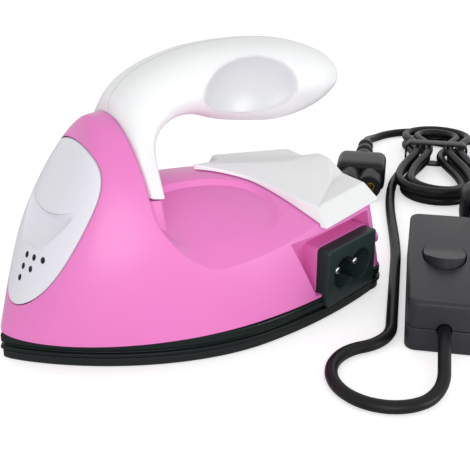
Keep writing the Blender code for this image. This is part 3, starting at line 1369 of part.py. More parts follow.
def build_tie():
    """Flat band round the waist of the hank."""
    last = LAYER_LOOPS_SHARES[-1]
    widest = hank_point(last + (HANK_FAR - TIE_PLACE) / (HANK_FAR - HANK_NEAR) / 4)
    inner_half = abs(widest.y) + CORD_DIAMETER / 2 + TIE_CLEARANCE + GAP
    low = cord_rest() + TIE_LIFT - CORD_DIAMETER / 2 - TIE_CLEARANCE
    high = cord_rest() + TIE_LIFT + HANK_LAYER + CORD_DIAMETER / 2 + TIE_CLEARANCE
    corner = CORD_DIAMETER / 2
    centre = (low + high) / 2
    frame = set_matrix() @ Matrix.Translation((TIE_PLACE, 0.0, centre)) @ Matrix.Rotation(math.pi / 2, 4, "Y")
    outer = rounded_box_outline(high - low + 2 * TIE_THICKNESS, 2 * (inner_half + TIE_THICKNESS),
                                corner + TIE_THICKNESS)
    inner = rounded_box_outline(high - low, 2 * inner_half, corner)
    band = prism("cord_tie", outer, -TIE_WIDTH / 2, TIE_WIDTH / 2, None, frame)
    cut(band, prism("inside", inner, -TIE_WIDTH, TIE_WIDTH, None, frame))
    return finish(band, CORD_FINISH)


def ribbed_relief(name, length, frame):
    """Strain relief with ribs, from its thin tail at the local origin to its root."""
    profile = []
    for number, share in enumerate(RELIEF_RIB_SHARES):
        grow = 1 - RELIEF_TAPER_SHARE * (1 - share)
        wide = number % 4 in (0, 1)
        radius = (RELIEF_DIAMETER if wide else RELIEF_NECK) / 2 * grow
        profile.append((radius, length * share))
    profile.append((RELIEF_NECK / 2, length + GAP))
    return turned(name, profile, 14, None, frame)


def build_connector():
    """Two-hole connector that fits the inlet, with brass sleeves, lying beside the hank."""
    centre = CONNECTOR_THICKNESS / 2 + FLOOR_GAP
    tail = (set_matrix() @ Matrix.Translation((CONNECTOR_END, CONNECTOR_SIDE, centre))
            @ Matrix.Rotation(-math.pi / 2, 4, "Y") @ Matrix.Rotation(math.pi / 2, 4, "Z"))
    body = ribbed_relief("connector_body", CONNECTOR_RELIEF, tail)
    grip = tail @ Matrix.Translation((0.0, 0.0, CONNECTOR_RELIEF))
    rings = []
    for along, wide, thick in GRIP_SHARES:
        outline = rounded_box_outline(CONNECTOR_WIDTH * wide, CONNECTOR_THICKNESS * thick, CONNECTOR_CORNER)
        rings.append([(x, y, CONNECTOR_GRIP * along) for x, y in outline])
    join(body, loft("grip", rings, None, grip))
    offset = SOCKET_WIDTH / 2 - SOCKET_RADIUS
    mouth = CONNECTOR_GRIP + CONNECTOR_REACH
    for side in (-1, 1):
        lobe = circle(SOCKET_RADIUS - GAP, 24, (side * offset, 0.0))
        join(body, prism("lobe", lobe, CONNECTOR_GRIP - OVERRUN, mouth, None, grip))
    pieces = []
    for name, side in (("connector_sleeve_left", -1), ("connector_sleeve_right", 1)):
        place = grip @ Matrix.Translation((side * PIN_PITCH / 2, 0.0, mouth - CONNECTOR_BORE_DEPTH))
        cut(body, turned("bore", [(CONNECTOR_BORE / 2, 0.0), (CONNECTOR_BORE / 2, CONNECTOR_BORE_DEPTH + OVERRUN)],
                         16, None, place))
        sleeve = turned(name, [(SLEEVE_DIAMETER / 2, GAP), (SLEEVE_DIAMETER / 2, SLEEVE_LENGTH)], 16, None, place)
        cut(sleeve, turned("inside", [(SLEEVE_BORE / 2, GAP * 3), (SLEEVE_BORE / 2, SLEEVE_LENGTH + OVERRUN)],
                           16, None, place))
        pieces.append(finish(sleeve, BRASS_FINISH))
    return [finish(body, CORD_FINISH)] + pieces


def build_plug():
    """Two-blade mains plug lying beside the hank, its blades towards the switch."""
    end = lead_path()[-1] - Vector((GAP, 0.0, 0.0))
    tail = (set_matrix() @ Matrix.Translation(end)
            @ Matrix.Rotation(-math.pi / 2, 4, "Y") @ Matrix.Rotation(math.pi / 2, 4, "Z"))
    body = ribbed_relief("plug_body", PLUG_RELIEF, tail)
    root = tail @ Matrix.Translation((0.0, 0.0, PLUG_RELIEF))
    rings = []
    for along, wide, thick in PLUG_SHARES:
        outline = rounded_box_outline(PLUG_WIDTH * wide, PLUG_THICKNESS * thick, PLUG_CORNER)
        rings.append([(x, y, PLUG_LENGTH * along) for x, y in outline])
    join(body, loft("block", rings, None, root))
    pieces = []
    for name, side in (("plug_blade_left", -1), ("plug_blade_right", 1)):
        place = root @ Matrix.Translation((side * BLADE_PITCH / 2, 0.0, PLUG_LENGTH))
        half = BLADE_THICKNESS / 2
        tall = BLADE_HEIGHT / 2
        cut(body, box("slot", (-half - GAP, -tall - GAP, -BLADE_BITE - GAP),
                      (half + GAP, tall + GAP, OVERRUN), None, place))
        blade = box(name, (-half, -tall, -BLADE_BITE), (half, tall, BLADE_LENGTH), None, place)
        bore = place @ Matrix.Translation((0.0, 0.0, BLADE_HOLE_PLACE)) @ Matrix.Rotation(math.pi / 2, 4, "Y")
        cut(blade, turned("hole", [(BLADE_HOLE / 2, -OVERRUN), (BLADE_HOLE / 2, OVERRUN)], 12, None, bore))
        pieces.append(finish(blade, STEEL_FINISH))
    return [finish(body, CORD_FINISH)] + pieces


def switch_block(name, low, high, inset, crown):
    """Rounded block of the switch between two heights; `crown` rounds its top edge."""
    length = SWITCH_LENGTH - 2 * inset
    width = SWITCH_WIDTH - 2 * inset
    corner = SWITCH_CORNER - inset
    rings = [[(x, y, low) for x, y in rounded_box_outline(length, width, corner)]]
    if crown:
        rings.append([(x, y, high - crown) for x, y in rounded_box_outline(length, width, corner)])
        lean = crown * (1 - math.sin(math.pi / 4))
        rings.append([(x, y, high - lean) for x, y in
                      rounded_box_outline(length - 2 * lean, width - 2 * lean, corner)])
        rings.append([(x, y, high) for x, y in
                      rounded_box_outline(length - 2 * crown, width - 2 * crown, corner - crown / 2)])
    else:
        rings.append([(x, y, high) for x, y in rounded_box_outline(length, width, corner)])
    return loft(name, rings, None, set_matrix())


def oval(length, width, count):
    return [(length / 2 * math.cos(step / count * math.tau), width / 2 * math.sin(step / count * math.tau))
            for step in range(count)]


def build_switch():
    """In-line switch: two shells closed on the cord by two screws, a rocker on an axle, two terminals."""
    world = set_matrix()
    floor = FLOOR_GAP + SWITCH_WALL
    lower = switch_block("switch_base", FLOOR_GAP, SWITCH_PARTING, 0.0, 0.0)
    cut(lower, switch_block("inside", floor, SWITCH_PARTING + OVERRUN, SWITCH_WALL, 0.0))
    ceiling = SWITCH_HEIGHT - SWITCH_WALL
    upper = switch_block("switch_cover", SWITCH_PARTING + GAP, SWITCH_HEIGHT, 0.0, SWITCH_ROUND)
    cut(upper, switch_block("inside", SWITCH_PARTING - OVERRUN, ceiling, SWITCH_WALL, 0.0))
    pivot = SWITCH_HEIGHT - ROCKER_PIVOT_DROP
    boss = ROCKER_BOSS / 2
    for side in (-1, 1):
        near = side * (ROCKER_WIDTH / 2 + GAP)
        wall = side * (SWITCH_WIDTH / 2 - SWITCH_WALL / 2)
        low, high = sorted((near, wall))
        join(upper, box("boss", (-boss, low, pivot - boss), (boss, high, ceiling + SWITCH_WALL / 2), None, world))
    hole = prism("rocker_hole", oval(ROCKER_LENGTH + 2 * ROCKER_CLEARANCE, ROCKER_WIDTH + 2 * GAP, 28),
                 ceiling - SWITCH_WALL - ROCKER_UNDER, SWITCH_HEIGHT + OVERRUN, None, world)
    cut(upper, hole)
    reach = ROCKER_WIDTH / 2 + ROCKER_AXLE_REACH
    across = world @ Matrix.Translation((0.0, 0.0, pivot)) @ Matrix.Rotation(-math.pi / 2, 4, "X")
    cut(upper, turned("axle_bore", [(ROCKER_AXLE / 2 + RUNNING, -reach - GAP), (ROCKER_AXLE / 2 + RUNNING, reach + GAP)],
                      14, None, across))
    pieces = []
    for name, side in (("switch_screw_near", -1), ("switch_screw_far", 1)):
        x = side * SWITCH_SCREW_PLACE
        post_foot = floor + GAP
        post = turned("post", [(SWITCH_POST_DIAMETER / 2, post_foot),
                               (SWITCH_POST_DIAMETER / 2, ceiling + SWITCH_WALL / 2)], 14, None,
                      world @ Matrix.Translation((x, 0.0, 0.0)))
        join(upper, post)
        seat = FLOOR_GAP + SWITCH_WALL / 2
        hole = world @ Vector((x, 0.0, 0.0))
        drill(lower, hole, (0, 0, 1), SCREW_HEAD_DIAMETER + 2 * GAP, seat)
        drill(lower, hole, (0, 0, 1), SCREW_DIAMETER + 2 * GAP, floor + OVERRUN)
        drill(upper, hole, (0, 0, 1), SCREW_DIAMETER + 2 * GAP, seat + SWITCH_SCREW_LENGTH + GAP)
        pieces.append(switch_screw(name, world @ Vector((x, 0.0, seat - GAP))))
    cord_hole = CORD_DIAMETER + 2 * GAP
    parting = SWITCH_PARTING + GAP / 2
    for side in (-1, 1):
        start = world @ Vector((side * SWITCH_LENGTH / 2, 0.0, parting))
        inward = world.to_3x3() @ Vector((-side, 0.0, 0.0))
        drill(lower, start, inward, cord_hole, SWITCH_WALL + OVERRUN, 14)
        drill(upper, start, inward, cord_hole, SWITCH_WALL + OVERRUN, 14)
    for name, side in (("switch_terminal_near", -1), ("switch_terminal_far", 1)):
        half = TERMINAL_LENGTH / 2
        wide = TERMINAL_WIDTH / 2
        middle = side * TERMINAL_SPREAD
        block = box(name, (middle - half, -wide, floor + GAP), (middle + half, wide, floor + GAP + TERMINAL_HEIGHT),
                    None, world)
        pieces.append(finish(block, BRASS_FINISH))
    return [finish(lower, CORD_FINISH), finish(upper, CORD_FINISH)] + pieces + [build_rocker()]


def switch_screw(name, place):
    """Flat-head screw under the switch, its head in a counterbore."""
    head = SCREW_HEAD_DIAMETER / 2
    drop = SWITCH_WALL / 2 - GAP
    socket = SCREW_SOCKET_DIAMETER / 2
    profile = [(SCREW_RADIUS * SCREW_TIP_SHARE, SWITCH_SCREW_LENGTH), (SCREW_RADIUS, SWITCH_SCREW_LENGTH - SCREW_RADIUS),
               (SCREW_RADIUS, 0.0), (head, 0.0), (head, -drop), (socket, -drop), (socket, -drop / 2)]
    return finish(turned(name, profile, SCREW_SIDES, None, axis_matrix(place, (0, 0, 1))), STEEL_FINISH)


def build_rocker():
    """Oval rocker with a shallow V top, at rest tipped one way on its axle."""
    frame = (set_matrix() @ Matrix.Translation((0.0, 0.0, SWITCH_HEIGHT - ROCKER_PIVOT_DROP))
             @ Matrix.Rotation(ROCKER_TILT, 4, "Y"))
    top = ROCKER_HEIGHT + ROCKER_LENGTH / 2 * math.tan(ROCKER_TILT)
    rocker = prism("switch_rocker", oval(ROCKER_LENGTH, ROCKER_WIDTH, 28), -ROCKER_UNDER, top + GAP, None, frame)
    reach = ROCKER_LENGTH
    rise = reach * math.tan(ROCKER_TILT)
    valley = [(-reach, ROCKER_HEIGHT + rise), (0.0, ROCKER_HEIGHT), (reach, ROCKER_HEIGHT + rise),
              (reach, ROCKER_HEIGHT + 2 * rise), (-reach, ROCKER_HEIGHT + 2 * rise)]
    upright = frame @ Matrix.Rotation(math.pi / 2, 4, "X")
    cut(rocker, prism("valley", valley, -ROCKER_WIDTH, ROCKER_WIDTH, None, upright))
    axle = ROCKER_WIDTH / 2 + ROCKER_AXLE_REACH
    join(rocker, turned("axle", [(ROCKER_AXLE / 2, -axle), (ROCKER_AXLE / 2, axle)], 14, None,
                        frame @ Matrix.Rotation(-math.pi / 2, 4, "X")))
    return finish(rocker, CORD_FINISH)


STEEL_FINISH = make_material("steel", STEEL, 0.35, 1.0)
BRASS_FINISH = make_material("brass", BRASS, 0.4, 1.0)
PINK_FINISH = make_material("pink_shell", PINK, 0.3)
WHITE_FINISH = make_material("white_plastic", WHITE, 0.35)
PANEL_FINISH = make_material("pale_panel", PANEL_GREY, 0.35)
BLACK_FINISH = make_material("black_plastic", BLACK, 0.3)
SOLE_FINISH = make_material("coated_soleplate", SOLE_GREY, 0.35)
CORD_FINISH = make_material("cord_black", CORD_BLACK, 0.5)
CERAMIC_FINISH = make_material("ceramic", PANEL_GREY, 0.7)

clear_scene()
build_soleplate()
build_skirt()
build_shell()
build_panel()
build_handle()
build_cover()
build_inlet()
build_heating()
lead_wires()
build_switch()
build_cords()
build_tie()
build_connector()
build_plug()
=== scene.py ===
"""Mini heat press (craft iron) with its cord set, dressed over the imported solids.

Metres, +Z up. The nose points to -X, the heel to +X, and the mains inlet is on the -Y side.
"""
import math

import bmesh
import bpy
from mathutils import Matrix, Vector


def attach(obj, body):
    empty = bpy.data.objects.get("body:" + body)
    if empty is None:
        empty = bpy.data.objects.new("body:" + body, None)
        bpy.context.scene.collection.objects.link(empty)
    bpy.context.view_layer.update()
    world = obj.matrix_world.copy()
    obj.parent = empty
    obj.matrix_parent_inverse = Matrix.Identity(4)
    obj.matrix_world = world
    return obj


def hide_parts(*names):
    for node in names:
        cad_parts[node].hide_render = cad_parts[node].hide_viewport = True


bl_info = {
    "name": "Craft Iron",
    "version": (1, 0, 0),
    "blender": (4, 5, 0),
    "location": "View3D > Sidebar > Craft Iron",
    "description": "Builds a mini heat press with its cord set and a plain studio stage",
    "category": "Object",
}

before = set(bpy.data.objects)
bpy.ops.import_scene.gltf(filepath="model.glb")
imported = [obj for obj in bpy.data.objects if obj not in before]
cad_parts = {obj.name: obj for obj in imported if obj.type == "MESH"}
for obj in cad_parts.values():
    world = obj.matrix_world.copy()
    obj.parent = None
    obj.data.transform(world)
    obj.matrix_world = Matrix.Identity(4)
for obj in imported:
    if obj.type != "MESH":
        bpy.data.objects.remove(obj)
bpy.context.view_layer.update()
BODY = "iron_and_cord"
ROCKER_BODY = "rocker"
MATERIALS = {}

# Clearances and overruns
GAP = 0.0003
OVERRUN = 0.002
MERGE = 0.00001
COVER_SOFTNESS = 0.0004
RELIEF_SOFTNESS = 0.0003
FLAT_AREA = 0.00002
QUARTER_TURN = math.pi / 2
SHARP_ANGLE = math.radians(32.0)

# Base outline: a soleplate that is widest behind its middle
BASE_LENGTH = 0.112
BASE_WIDTH = 0.0681
HEEL_WIDTH = 0.0497
CORNER_RADIUS = 0.006
WIDEST_SHARE = 0.55
NOSE_BLUNT = 1.88
NOSE_SQUARE = 1.15

# Soleplate and black skirt
SOLE_THICKNESS = 0.0026
SOLE_CHAMFER = 0.0006
SKIRT_HEIGHT = 0.0045
SKIRT_WALL = 0.0016
SKIRT_FLOOR = 0.0016
SKIRT_LIP = 0.0005
SKIRT_LIP_HEIGHT = 0.0008
SKIRT_GROOVE = 0.0005

# Body shell
WALL = 0.0018
SHELL_SETBACK = 0.0004
TONGUE_DEPTH = 0.0016
TONGUE_INSET = 0.0022
TONGUE_WALL = 0.0010
TONGUE_LEDGE = 0.0015
HOOD_TOP = 0.0614
HOOD_LENGTH = 0.0344
NOSE_LEAN = math.radians(22.8)
NOSE_STEP = 0.0006
NOSE_BEND = 0.0320
NOSE_BEND_SOFT = 0.0060
NOSE_TOP_LEAN = math.radians(31.4)
WALL_DRAFT = math.radians(5.7)
HEEL_DRAFT = math.radians(8.0)
TOP_BLUNT = 0.69
TOP_SQUARE = 3.28
TOP_ROUND = 3.25

# Saddle deck behind the hood
DECK_RIDGE = 0.0414
DECK_RIDGE_END = 0.0255
DECK_EDGE = 0.0244
DECK_EDGE_END = 0.0298
DECK_HALF = 0.0305
DECK_CROWN = 1.8
DECK_FILLET = 0.0156

# Finger scoops beside the leg of the handle
SCOOP_CENTRE = 0.0206
SCOOP_HALF_LENGTH = 0.0185
SCOOP_INNER = 0.0065
SCOOP_OUTER = 0.0275
SCOOP_DEPTH = 0.0015
SCOOP_FADE = 0.0190
SCOOP_ROUND = 2.6

# Front panel with its scoop and vents
PANEL_HALF_WIDTH = 0.0158
PANEL_BOTTOM = 0.0158
PANEL_TOP = 0.0554
PANEL_WIDEST = 0.0394
PANEL_TOP_SQUARE = 2.4
PANEL_DEPTH = 0.0032
DISH_TOP = 0.0388
DISH_BOTTOM = 0.0305
DISH_LIFT = 0.0034
DISH_HALF_WIDTH = 0.0134
DISH_DEPTH = 0.0025
VENT_DIAMETER = 0.0017
VENT_PITCH = 0.0038
VENT_TOP = 0.0280
VENT_ROW_PITCH = 0.0029
VENT_CLIMB = 0.0005
VENT_SIDE = 0.0003
VENT_ROWS = 3

# Heel pegs that the iron stands up on
PEG_DIAMETER = 0.0042
PEG_REACH = 0.0032
PEG_SPREAD = 0.0165
PEG_HEIGHT = 0.0125

# Mains inlet on the left side, for a two-hole figure-8 connector
INLET_ANGLE = math.radians(14.0)
INLET_PLACE = 0.0180
INLET_OUT = 0.0305
INLET_WIDTH = 0.0230
INLET_BOTTOM = 0.0043
INLET_TOP = 0.0217
INLET_FLANGE = 0.0040
INLET_CORNER = 0.0012
INLET_SINK = 0.0092
INLET_BODY_WIDTH = 0.0200
INLET_BODY_HEIGHT = 0.0120
INLET_BODY_DEPTH = 0.0150
SOCKET_DEPTH = 0.0105
SOCKET_RADIUS = 0.0048
SOCKET_WIDTH = 0.0172
PIN_PITCH = 0.0086
PIN_DIAMETER = 0.0024
PIN_SETBACK = 0.0016
PIN_TAIL = 0.0050
RECESS_LEFT_TOP = 0.0098
RECESS_LEFT_BOTTOM = 0.0024
RECESS_LEDGE = 0.0008
RECESS_RIGHT = 0.0010
RECESS_TOP = 0.0040

# Handle: a loft along pairs of points on its top and underside
HANDLE_RISE = 0.0318
HANDLE_REACH = 0.0756
HANDLE_FOOT = 0.0440
LEG_HALF_WIDTH = 0.0203
THUMB_PLACE = 0.0372
THUMB_HEIGHT = 0.0628
THUMB_HALF_LENGTH = 0.0166
THUMB_HALF_HEIGHT = 0.0146
THUMB_OUT = 0.0160
THUMB_REACH = 0.0100
THUMB_RIM = 0.0004
THUMB_SHADE_FADE = 0.0008
HANDLE_UNDER_SQUARE = 1.55
HANDLE_SCREW_FRONT = 0.0096
HANDLE_SCREW_FRONT_HEIGHT = 0.0640
HANDLE_SCREW_REAR = 0.0641
HANDLE_SCREW_REAR_HEIGHT = 0.0612
HANDLE_SCREW_SEAT = 0.0050
HANDLE_SHARP_ANGLE = math.radians(40.0)

# Screws
SCREW_DIAMETER = 0.0026
SCREW_HEAD_DIAMETER = 0.0052
SCREW_SOCKET_DIAMETER = 0.0022

# Rear cover
COVER_TIP = 0.0518
COVER_TIP_HEIGHT = 0.0422
COVER_NOTCH = 0.0195
COVER_NOTCH_HEIGHT = 0.0364
COVER_SHOULDER = 0.0284
COVER_SHOULDER_HALF = 0.0265
COVER_SHOULDER_HEIGHT = 0.0328
COVER_HEEL = 0.0046
COVER_HEEL_HALF = 0.0185
COVER_HEEL_HEIGHT = 0.0326
COVER_VALLEY = 0.0114
COVER_VALLEY_HALF = 0.0122
COVER_STEP = 0.0008
COVER_FIN_HALF = 0.0024
COVER_FIN_HEIGHT = 0.0356
COVER_FIN_FOOT = 0.0092
COVER_SKIRT_FOOT = 0.0276
COVER_HEEL_FOOT = 0.0280
COVER_LAP = 0.0012
COVER_HEEL_FLARE = 0.0024
COVER_FOLD_ANGLE = math.radians(12.0)
COVER_SHARP_ANGLE = math.radians(24.0)

# Cord set: cord, in-line switch, hank, tie, connector and plug, laid out in a turned frame
CORD_DIAMETER = 0.0034
CORD_STEP = 0.0020
FLOOR_GAP = 0.00005
SET_X = 0.0614
SET_Y = -0.0420
SET_TURN = math.radians(45.0)
SWITCH_LENGTH = 0.0610
SWITCH_WIDTH = 0.0200
SWITCH_HEIGHT = 0.0150
SWITCH_PARTING = 0.0070
SWITCH_WALL = 0.0016
SWITCH_CORNER = 0.0030
SWITCH_ROUND = 0.0012
CORD_ENTRY = 0.0065
SWITCH_SCREW_PLACE = 0.0175
SWITCH_SCREW_LENGTH = 0.0070
ROCKER_LENGTH = 0.0190
ROCKER_WIDTH = 0.0120
ROCKER_HEIGHT = 0.0030
ROCKER_UNDER = 0.0012
ROCKER_CLEARANCE = 0.0006
ROCKER_PIVOT_DROP = 0.0028
ROCKER_AXLE = 0.0024
ROCKER_AXLE_REACH = 0.0012
ROCKER_TILT = math.radians(8.0)
BULB_RADIUS = 0.0140
BULB_PLACE = 0.0460
LANE_SIDE = 0.0136
LANE_SHIFT_START = 0.0200
LANE_SHIFT_LENGTH = 0.0560
HANK_NEAR = 0.0880
HANK_FAR = 0.1340
HANK_RADIUS = 0.0170
HANK_PITCH = 0.0046
HANK_LAYER = 0.0039
HANK_PULL = 0.0080
HANK_WAIST = 0.0180
TIE_PLACE = 0.1200
TIE_LIFT = 0.0014
TIE_WIDTH = 0.0050
TIE_THICKNESS = 0.0008
TIE_CLEARANCE = 0.0004
LEAD_START = 0.1110
LEAD_LENGTH = 0.0215
PLUG_RELIEF = 0.0100
PLUG_LENGTH = 0.0230
PLUG_WIDTH = 0.0200
PLUG_THICKNESS = 0.0130
PLUG_CORNER = 0.0030
BLADE_PITCH = 0.0127
BLADE_LENGTH = 0.0140
BLADE_HEIGHT = 0.0063
BLADE_THICKNESS = 0.0015
BLADE_BITE = 0.0060
BLADE_HOLE = 0.0030
BLADE_HOLE_PLACE = 0.0108
SHORT_CORD_SIDE = 0.0210
SHORT_CORD_FALL = 0.0280
SHORT_CORD_RISE = 0.0250
CONNECTOR_SIDE = 0.0290
CONNECTOR_END = 0.1240
CONNECTOR_RELIEF = 0.0200
CONNECTOR_GRIP = 0.0200
CONNECTOR_REACH = 0.0100
CONNECTOR_WIDTH = 0.0185
CONNECTOR_THICKNESS = 0.0110
CONNECTOR_CORNER = 0.0025
CONNECTOR_BORE = 0.0039
CONNECTOR_BORE_DEPTH = 0.0130
SLEEVE_DIAMETER = 0.0033
SLEEVE_BORE = 0.0027
SLEEVE_LENGTH = 0.0120
RELIEF_DIAMETER = 0.0078
RELIEF_NECK = 0.0056

# Shapes given as shares of the sizes above
SCREW_TIP_SHARE = 0.45
TOP_SHARE = 0.9985
DECK_BEND_SHARE = 0.30
# Each row: top of the handle (along, up), its underside (along, up), half width, squareness at the top
HANDLE_SHARES = (
    (0.004, 0.000, 0.118, -0.050, 1.000, 6.0),
    (0.004, 0.119, 0.120, 0.075, 0.900, 6.0),
    (0.004, 0.245, 0.127, 0.195, 0.785, 6.0),
    (0.004, 0.371, 0.143, 0.300, 0.680, 5.0),
    (0.004, 0.481, 0.176, 0.375, 0.610, 3.6),
    (0.004, 0.560, 0.220, 0.420, 0.570, 2.8),
    (0.022, 0.680, 0.275, 0.430, 0.530, 2.4),
    (0.072, 0.800, 0.332, 0.405, 0.510, 2.3),
    (0.165, 0.905, 0.392, 0.352, 0.510, 2.3),
    (0.292, 0.978, 0.455, 0.305, 0.520, 2.3),
    (0.418, 1.000, 0.524, 0.270, 0.535, 2.3),
    (0.537, 0.995, 0.597, 0.240, 0.560, 2.3),
    (0.656, 0.968, 0.676, 0.215, 0.585, 2.3),
    (0.757, 0.920, 0.762, 0.223, 0.590, 2.3),
    (0.838, 0.856, 0.838, 0.266, 0.567, 2.3),
    (0.898, 0.788, 0.898, 0.340, 0.487, 2.2),
    (0.932, 0.720, 0.932, 0.432, 0.367, 2.1),
    (0.945, 0.630, 0.945, 0.527, 0.155, 2.0),
)
SCOOP_RIM_SHARE = 1.1
PEDESTAL_FLARE_SHARE = 0.35
# Each row: way down the handle's pink foot, and its spread
PEDESTAL_SHARES = ((0.0, 0.985), (0.25, 1.02), (0.55, 1.06), (0.8, 1.08))
# Each row: way from the cover's tip to its shoulder, and the half width there
COVER_EDGE_SHARES = ((0.197, 0.087), (0.419, 0.215), (0.594, 0.358), (0.752, 0.604), (0.87, 0.84))
# Each row: height down the dish, its half width, its depth
DISH_SHARES = ((0.0, 1.0, 0.25), (0.2, 0.93, 1.0), (0.5, 0.8, 0.9), (0.8, 0.6, 0.55), (1.0, 0.42, 0.12))
DISH_ROUND_SHARE = 3.5
# Painted shade inside the vent holes: how near a vent's middle a face lies, as a share of its diameter,
# and how steep its wall is
VENT_SHADE_SHARE = 0.55
VENT_WALL_SHARE = 0.5
# Where the ribs of a strain relief and the necks between them begin and end
RELIEF_RIB_SHARES = (0.0, 0.12, 0.2, 0.32, 0.4, 0.52, 0.6, 0.72, 0.8, 0.92)
RELIEF_TAPER_SHARE = 0.22
# Each row: way along the block from its tail, its width, its thickness
GRIP_SHARES = ((0.0, 0.56, 0.66), (0.16, 0.86, 0.9), (0.3, 1.0, 1.0), (0.9, 1.0, 1.0), (1.0, 0.96, 0.95))
PLUG_SHARES = ((0.0, 0.5, 0.6), (0.25, 0.8, 0.8), (0.5, 0.97, 0.97), (0.62, 1.0, 1.0), (0.94, 1.0, 1.0),
               (1.0, 0.95, 0.93))
# Loops of the hank at the end of its first layer, at the start of its second, and in all
LAYER_LOOPS_SHARES = (1.5, 2.0, 3.5)

# Counts of steps, sides and rounding segments in the curved forms
HANK_STEPS = 72
LEAVE_STEPS = 8
LEAD_STEPS = 16
NOSE_STEPS = 48
SIDE_STEPS = 20
CORNER_STEPS = 10
FILLET_STEPS = 18
DECK_STEPS = 30
DECK_ACROSS = 28
SCOOP_STEPS = 96
HANDLE_STEPS = 56
HANDLE_FILL = 8
HULL_STEPS = 44
SCOOP_RINGS = 9
DISH_STEPS = 24
PANEL_STEPS = 112
BOX_CORNER_STEPS = 6
VALLEY_STEPS = 6
BLOCK_END_STEPS = 3
PEDESTAL_FILL = 4
DISH_FILL = 6
COVER_EDGE_FILL = 3
BLOCK_FILL = 4
CORNER_POINTS = 8
CORD_RESOLUTION = 5
EDGE_SEGMENTS = 3
FOLD_SEGMENTS = 4
CROWN_SEGMENTS = 5
VENT_SIDES = 20
ROUND_SIDES = 32
WIDE_SIDES = 40
CONNECTOR_SIDES = 48
SOCKET_SIDES = 64
OVAL_SIDES = 96

# Places worked out from the sizes above
NOSE_X = -(BASE_LENGTH + PEG_REACH) / 2
HEEL_X = NOSE_X + BASE_LENGTH
SKIRT_BOTTOM = SOLE_THICKNESS + GAP
SKIRT_TOP = SKIRT_BOTTOM + SKIRT_HEIGHT
SHELL_BOTTOM = SKIRT_TOP + GAP
FLOOR_TOP = SKIRT_BOTTOM + SKIRT_FLOOR
HOOD_REAR = NOSE_X + HOOD_LENGTH
WIDEST_X = NOSE_X + BASE_LENGTH * WIDEST_SHARE
HEEL_DROP = (BASE_WIDTH - HEEL_WIDTH) / 2
DECK_START = HOOD_REAR + DECK_FILLET
INLET_MIDDLE = (INLET_BOTTOM + INLET_TOP) / 2
SCREW_RADIUS = SCREW_DIAMETER / 2
SWITCH_MOUTH = SWITCH_PARTING + GAP / 2
SWITCH_INNER = SWITCH_LENGTH / 2 - CORD_ENTRY
HANK_RUN = HANK_FAR - HANK_NEAR
CORD_REST = CORD_DIAMETER / 2 + FLOOR_GAP
PLUG_MIDDLE = CORD_REST + CORD_DIAMETER / 2 + GAP + PLUG_THICKNESS / 2
CONNECTOR_MIDDLE = CONNECTOR_THICKNESS / 2 + FLOOR_GAP

# Rear cover: the corners of its small faces, and how far back and to what height its rim falls
COVER_FACES = (
    ("shoulder", "valley", "step"), ("shoulder", "step", "foot"), ("shoulder", "foot", "heel"),
    ("notch", "valley", "fin"), ("valley", "step", "fin"), ("step", "foot", "fin"),
)
COVER_DROPS = {
    "shoulder": (GAP, COVER_SKIRT_FOOT),
    "heel": (COVER_HEEL_FLARE, COVER_HEEL_FOOT),
    "foot": (COVER_HEEL_FLARE, COVER_HEEL_FOOT),
    "fin": (COVER_HEEL_FLARE, COVER_HEEL_FOOT),
}

# Each finish: its colour, shade, lowest and highest roughness, and the strength of its grain.
# A colour given by name is a setting, and its shade is then a share of it.
FINISHES = {
    "pink": ("pink", 0.985, 0.30, 0.38, 0.012),
    "white": ("white", 0.99, 0.26, 0.36, 0.015),
    "handle": ("white", 0.99, 0.26, 0.36, 0.015),
    "panel": ("panel", 0.99, 0.28, 0.38, 0.015),
    # The vent finish is painted shade: a dark grey put on the walls inside the vent holes
    "vent": ((0.060, 0.056, 0.058), (0.045, 0.042, 0.044), 0.5, 0.6, 0.02),
    "band": ((0.008, 0.014, 0.013), (0.006, 0.011, 0.010), 0.16, 0.26, 0.02),
    "inlet": ((0.024, 0.040, 0.039), (0.019, 0.032, 0.031), 0.2, 0.32, 0.02),
    "sole": ((0.016, 0.020, 0.020), (0.012, 0.015, 0.015), 0.3, 0.42, 0.05),
    "cord": ("black", 1.3, 0.28, 0.42, 0.05),
    "switch": ((0.040, 0.040, 0.046), (0.032, 0.032, 0.037), 0.3, 0.42, 0.08),
    "ceramic": ((0.74, 0.74, 0.78), (0.66, 0.66, 0.68), 0.6, 0.75, 0.2),
    "steel": ((0.72, 0.72, 0.74), (0.60, 0.60, 0.62), 0.18, 0.3, 0.03),
    "brass": ((0.74, 0.54, 0.24), (0.62, 0.42, 0.16), 0.22, 0.36, 0.03),
}
# Cooler grey painted into the thumb hollow's bed as painted shade
THUMB_PAINTED_SHADE = (0.69, 0.71, 0.73)
METALS = ("steel", "brass")
COATED = ("pink", "white", "handle", "panel")
DULL = ("band", "inlet", "sole", "cord", "switch")
COAT_WEIGHT = 0.25
COAT_ROUGHNESS = 0.3
DULL_SPECULAR = 0.2
PLAIN_SPECULAR = 0.5
EDGE_SOFTNESS = 0.0004
BEVEL_SAMPLES = 8
SKIN_GRAIN = 0.0001
GRAIN_SCALE = 2500.0
GRAIN_DETAIL = 2.0
CLOUD_SCALE = 16.0
CLOUD_DETAIL = 1.0
CLOUD_LOW = 0.1
CLOUD_HIGH = 0.9

# Inputs and outputs of the moulded skin group
MOULD_INPUTS = (
    ("Colour", "NodeSocketColor", (0.8, 0.8, 0.8, 1.0)),
    ("Shade", "NodeSocketColor", (0.7, 0.7, 0.7, 1.0)),
    ("Low Roughness", "NodeSocketFloat", 0.2),
    ("High Roughness", "NodeSocketFloat", 0.3),
    ("Cloud Scale", "NodeSocketFloat", 40.0),
    ("Grain Scale", "NodeSocketFloat", 2500.0),
)
MOULD_OUTPUTS = (
    ("Colour", "NodeSocketColor"),
    ("Roughness", "NodeSocketFloat"),
    ("Height", "NodeSocketFloat"),
)
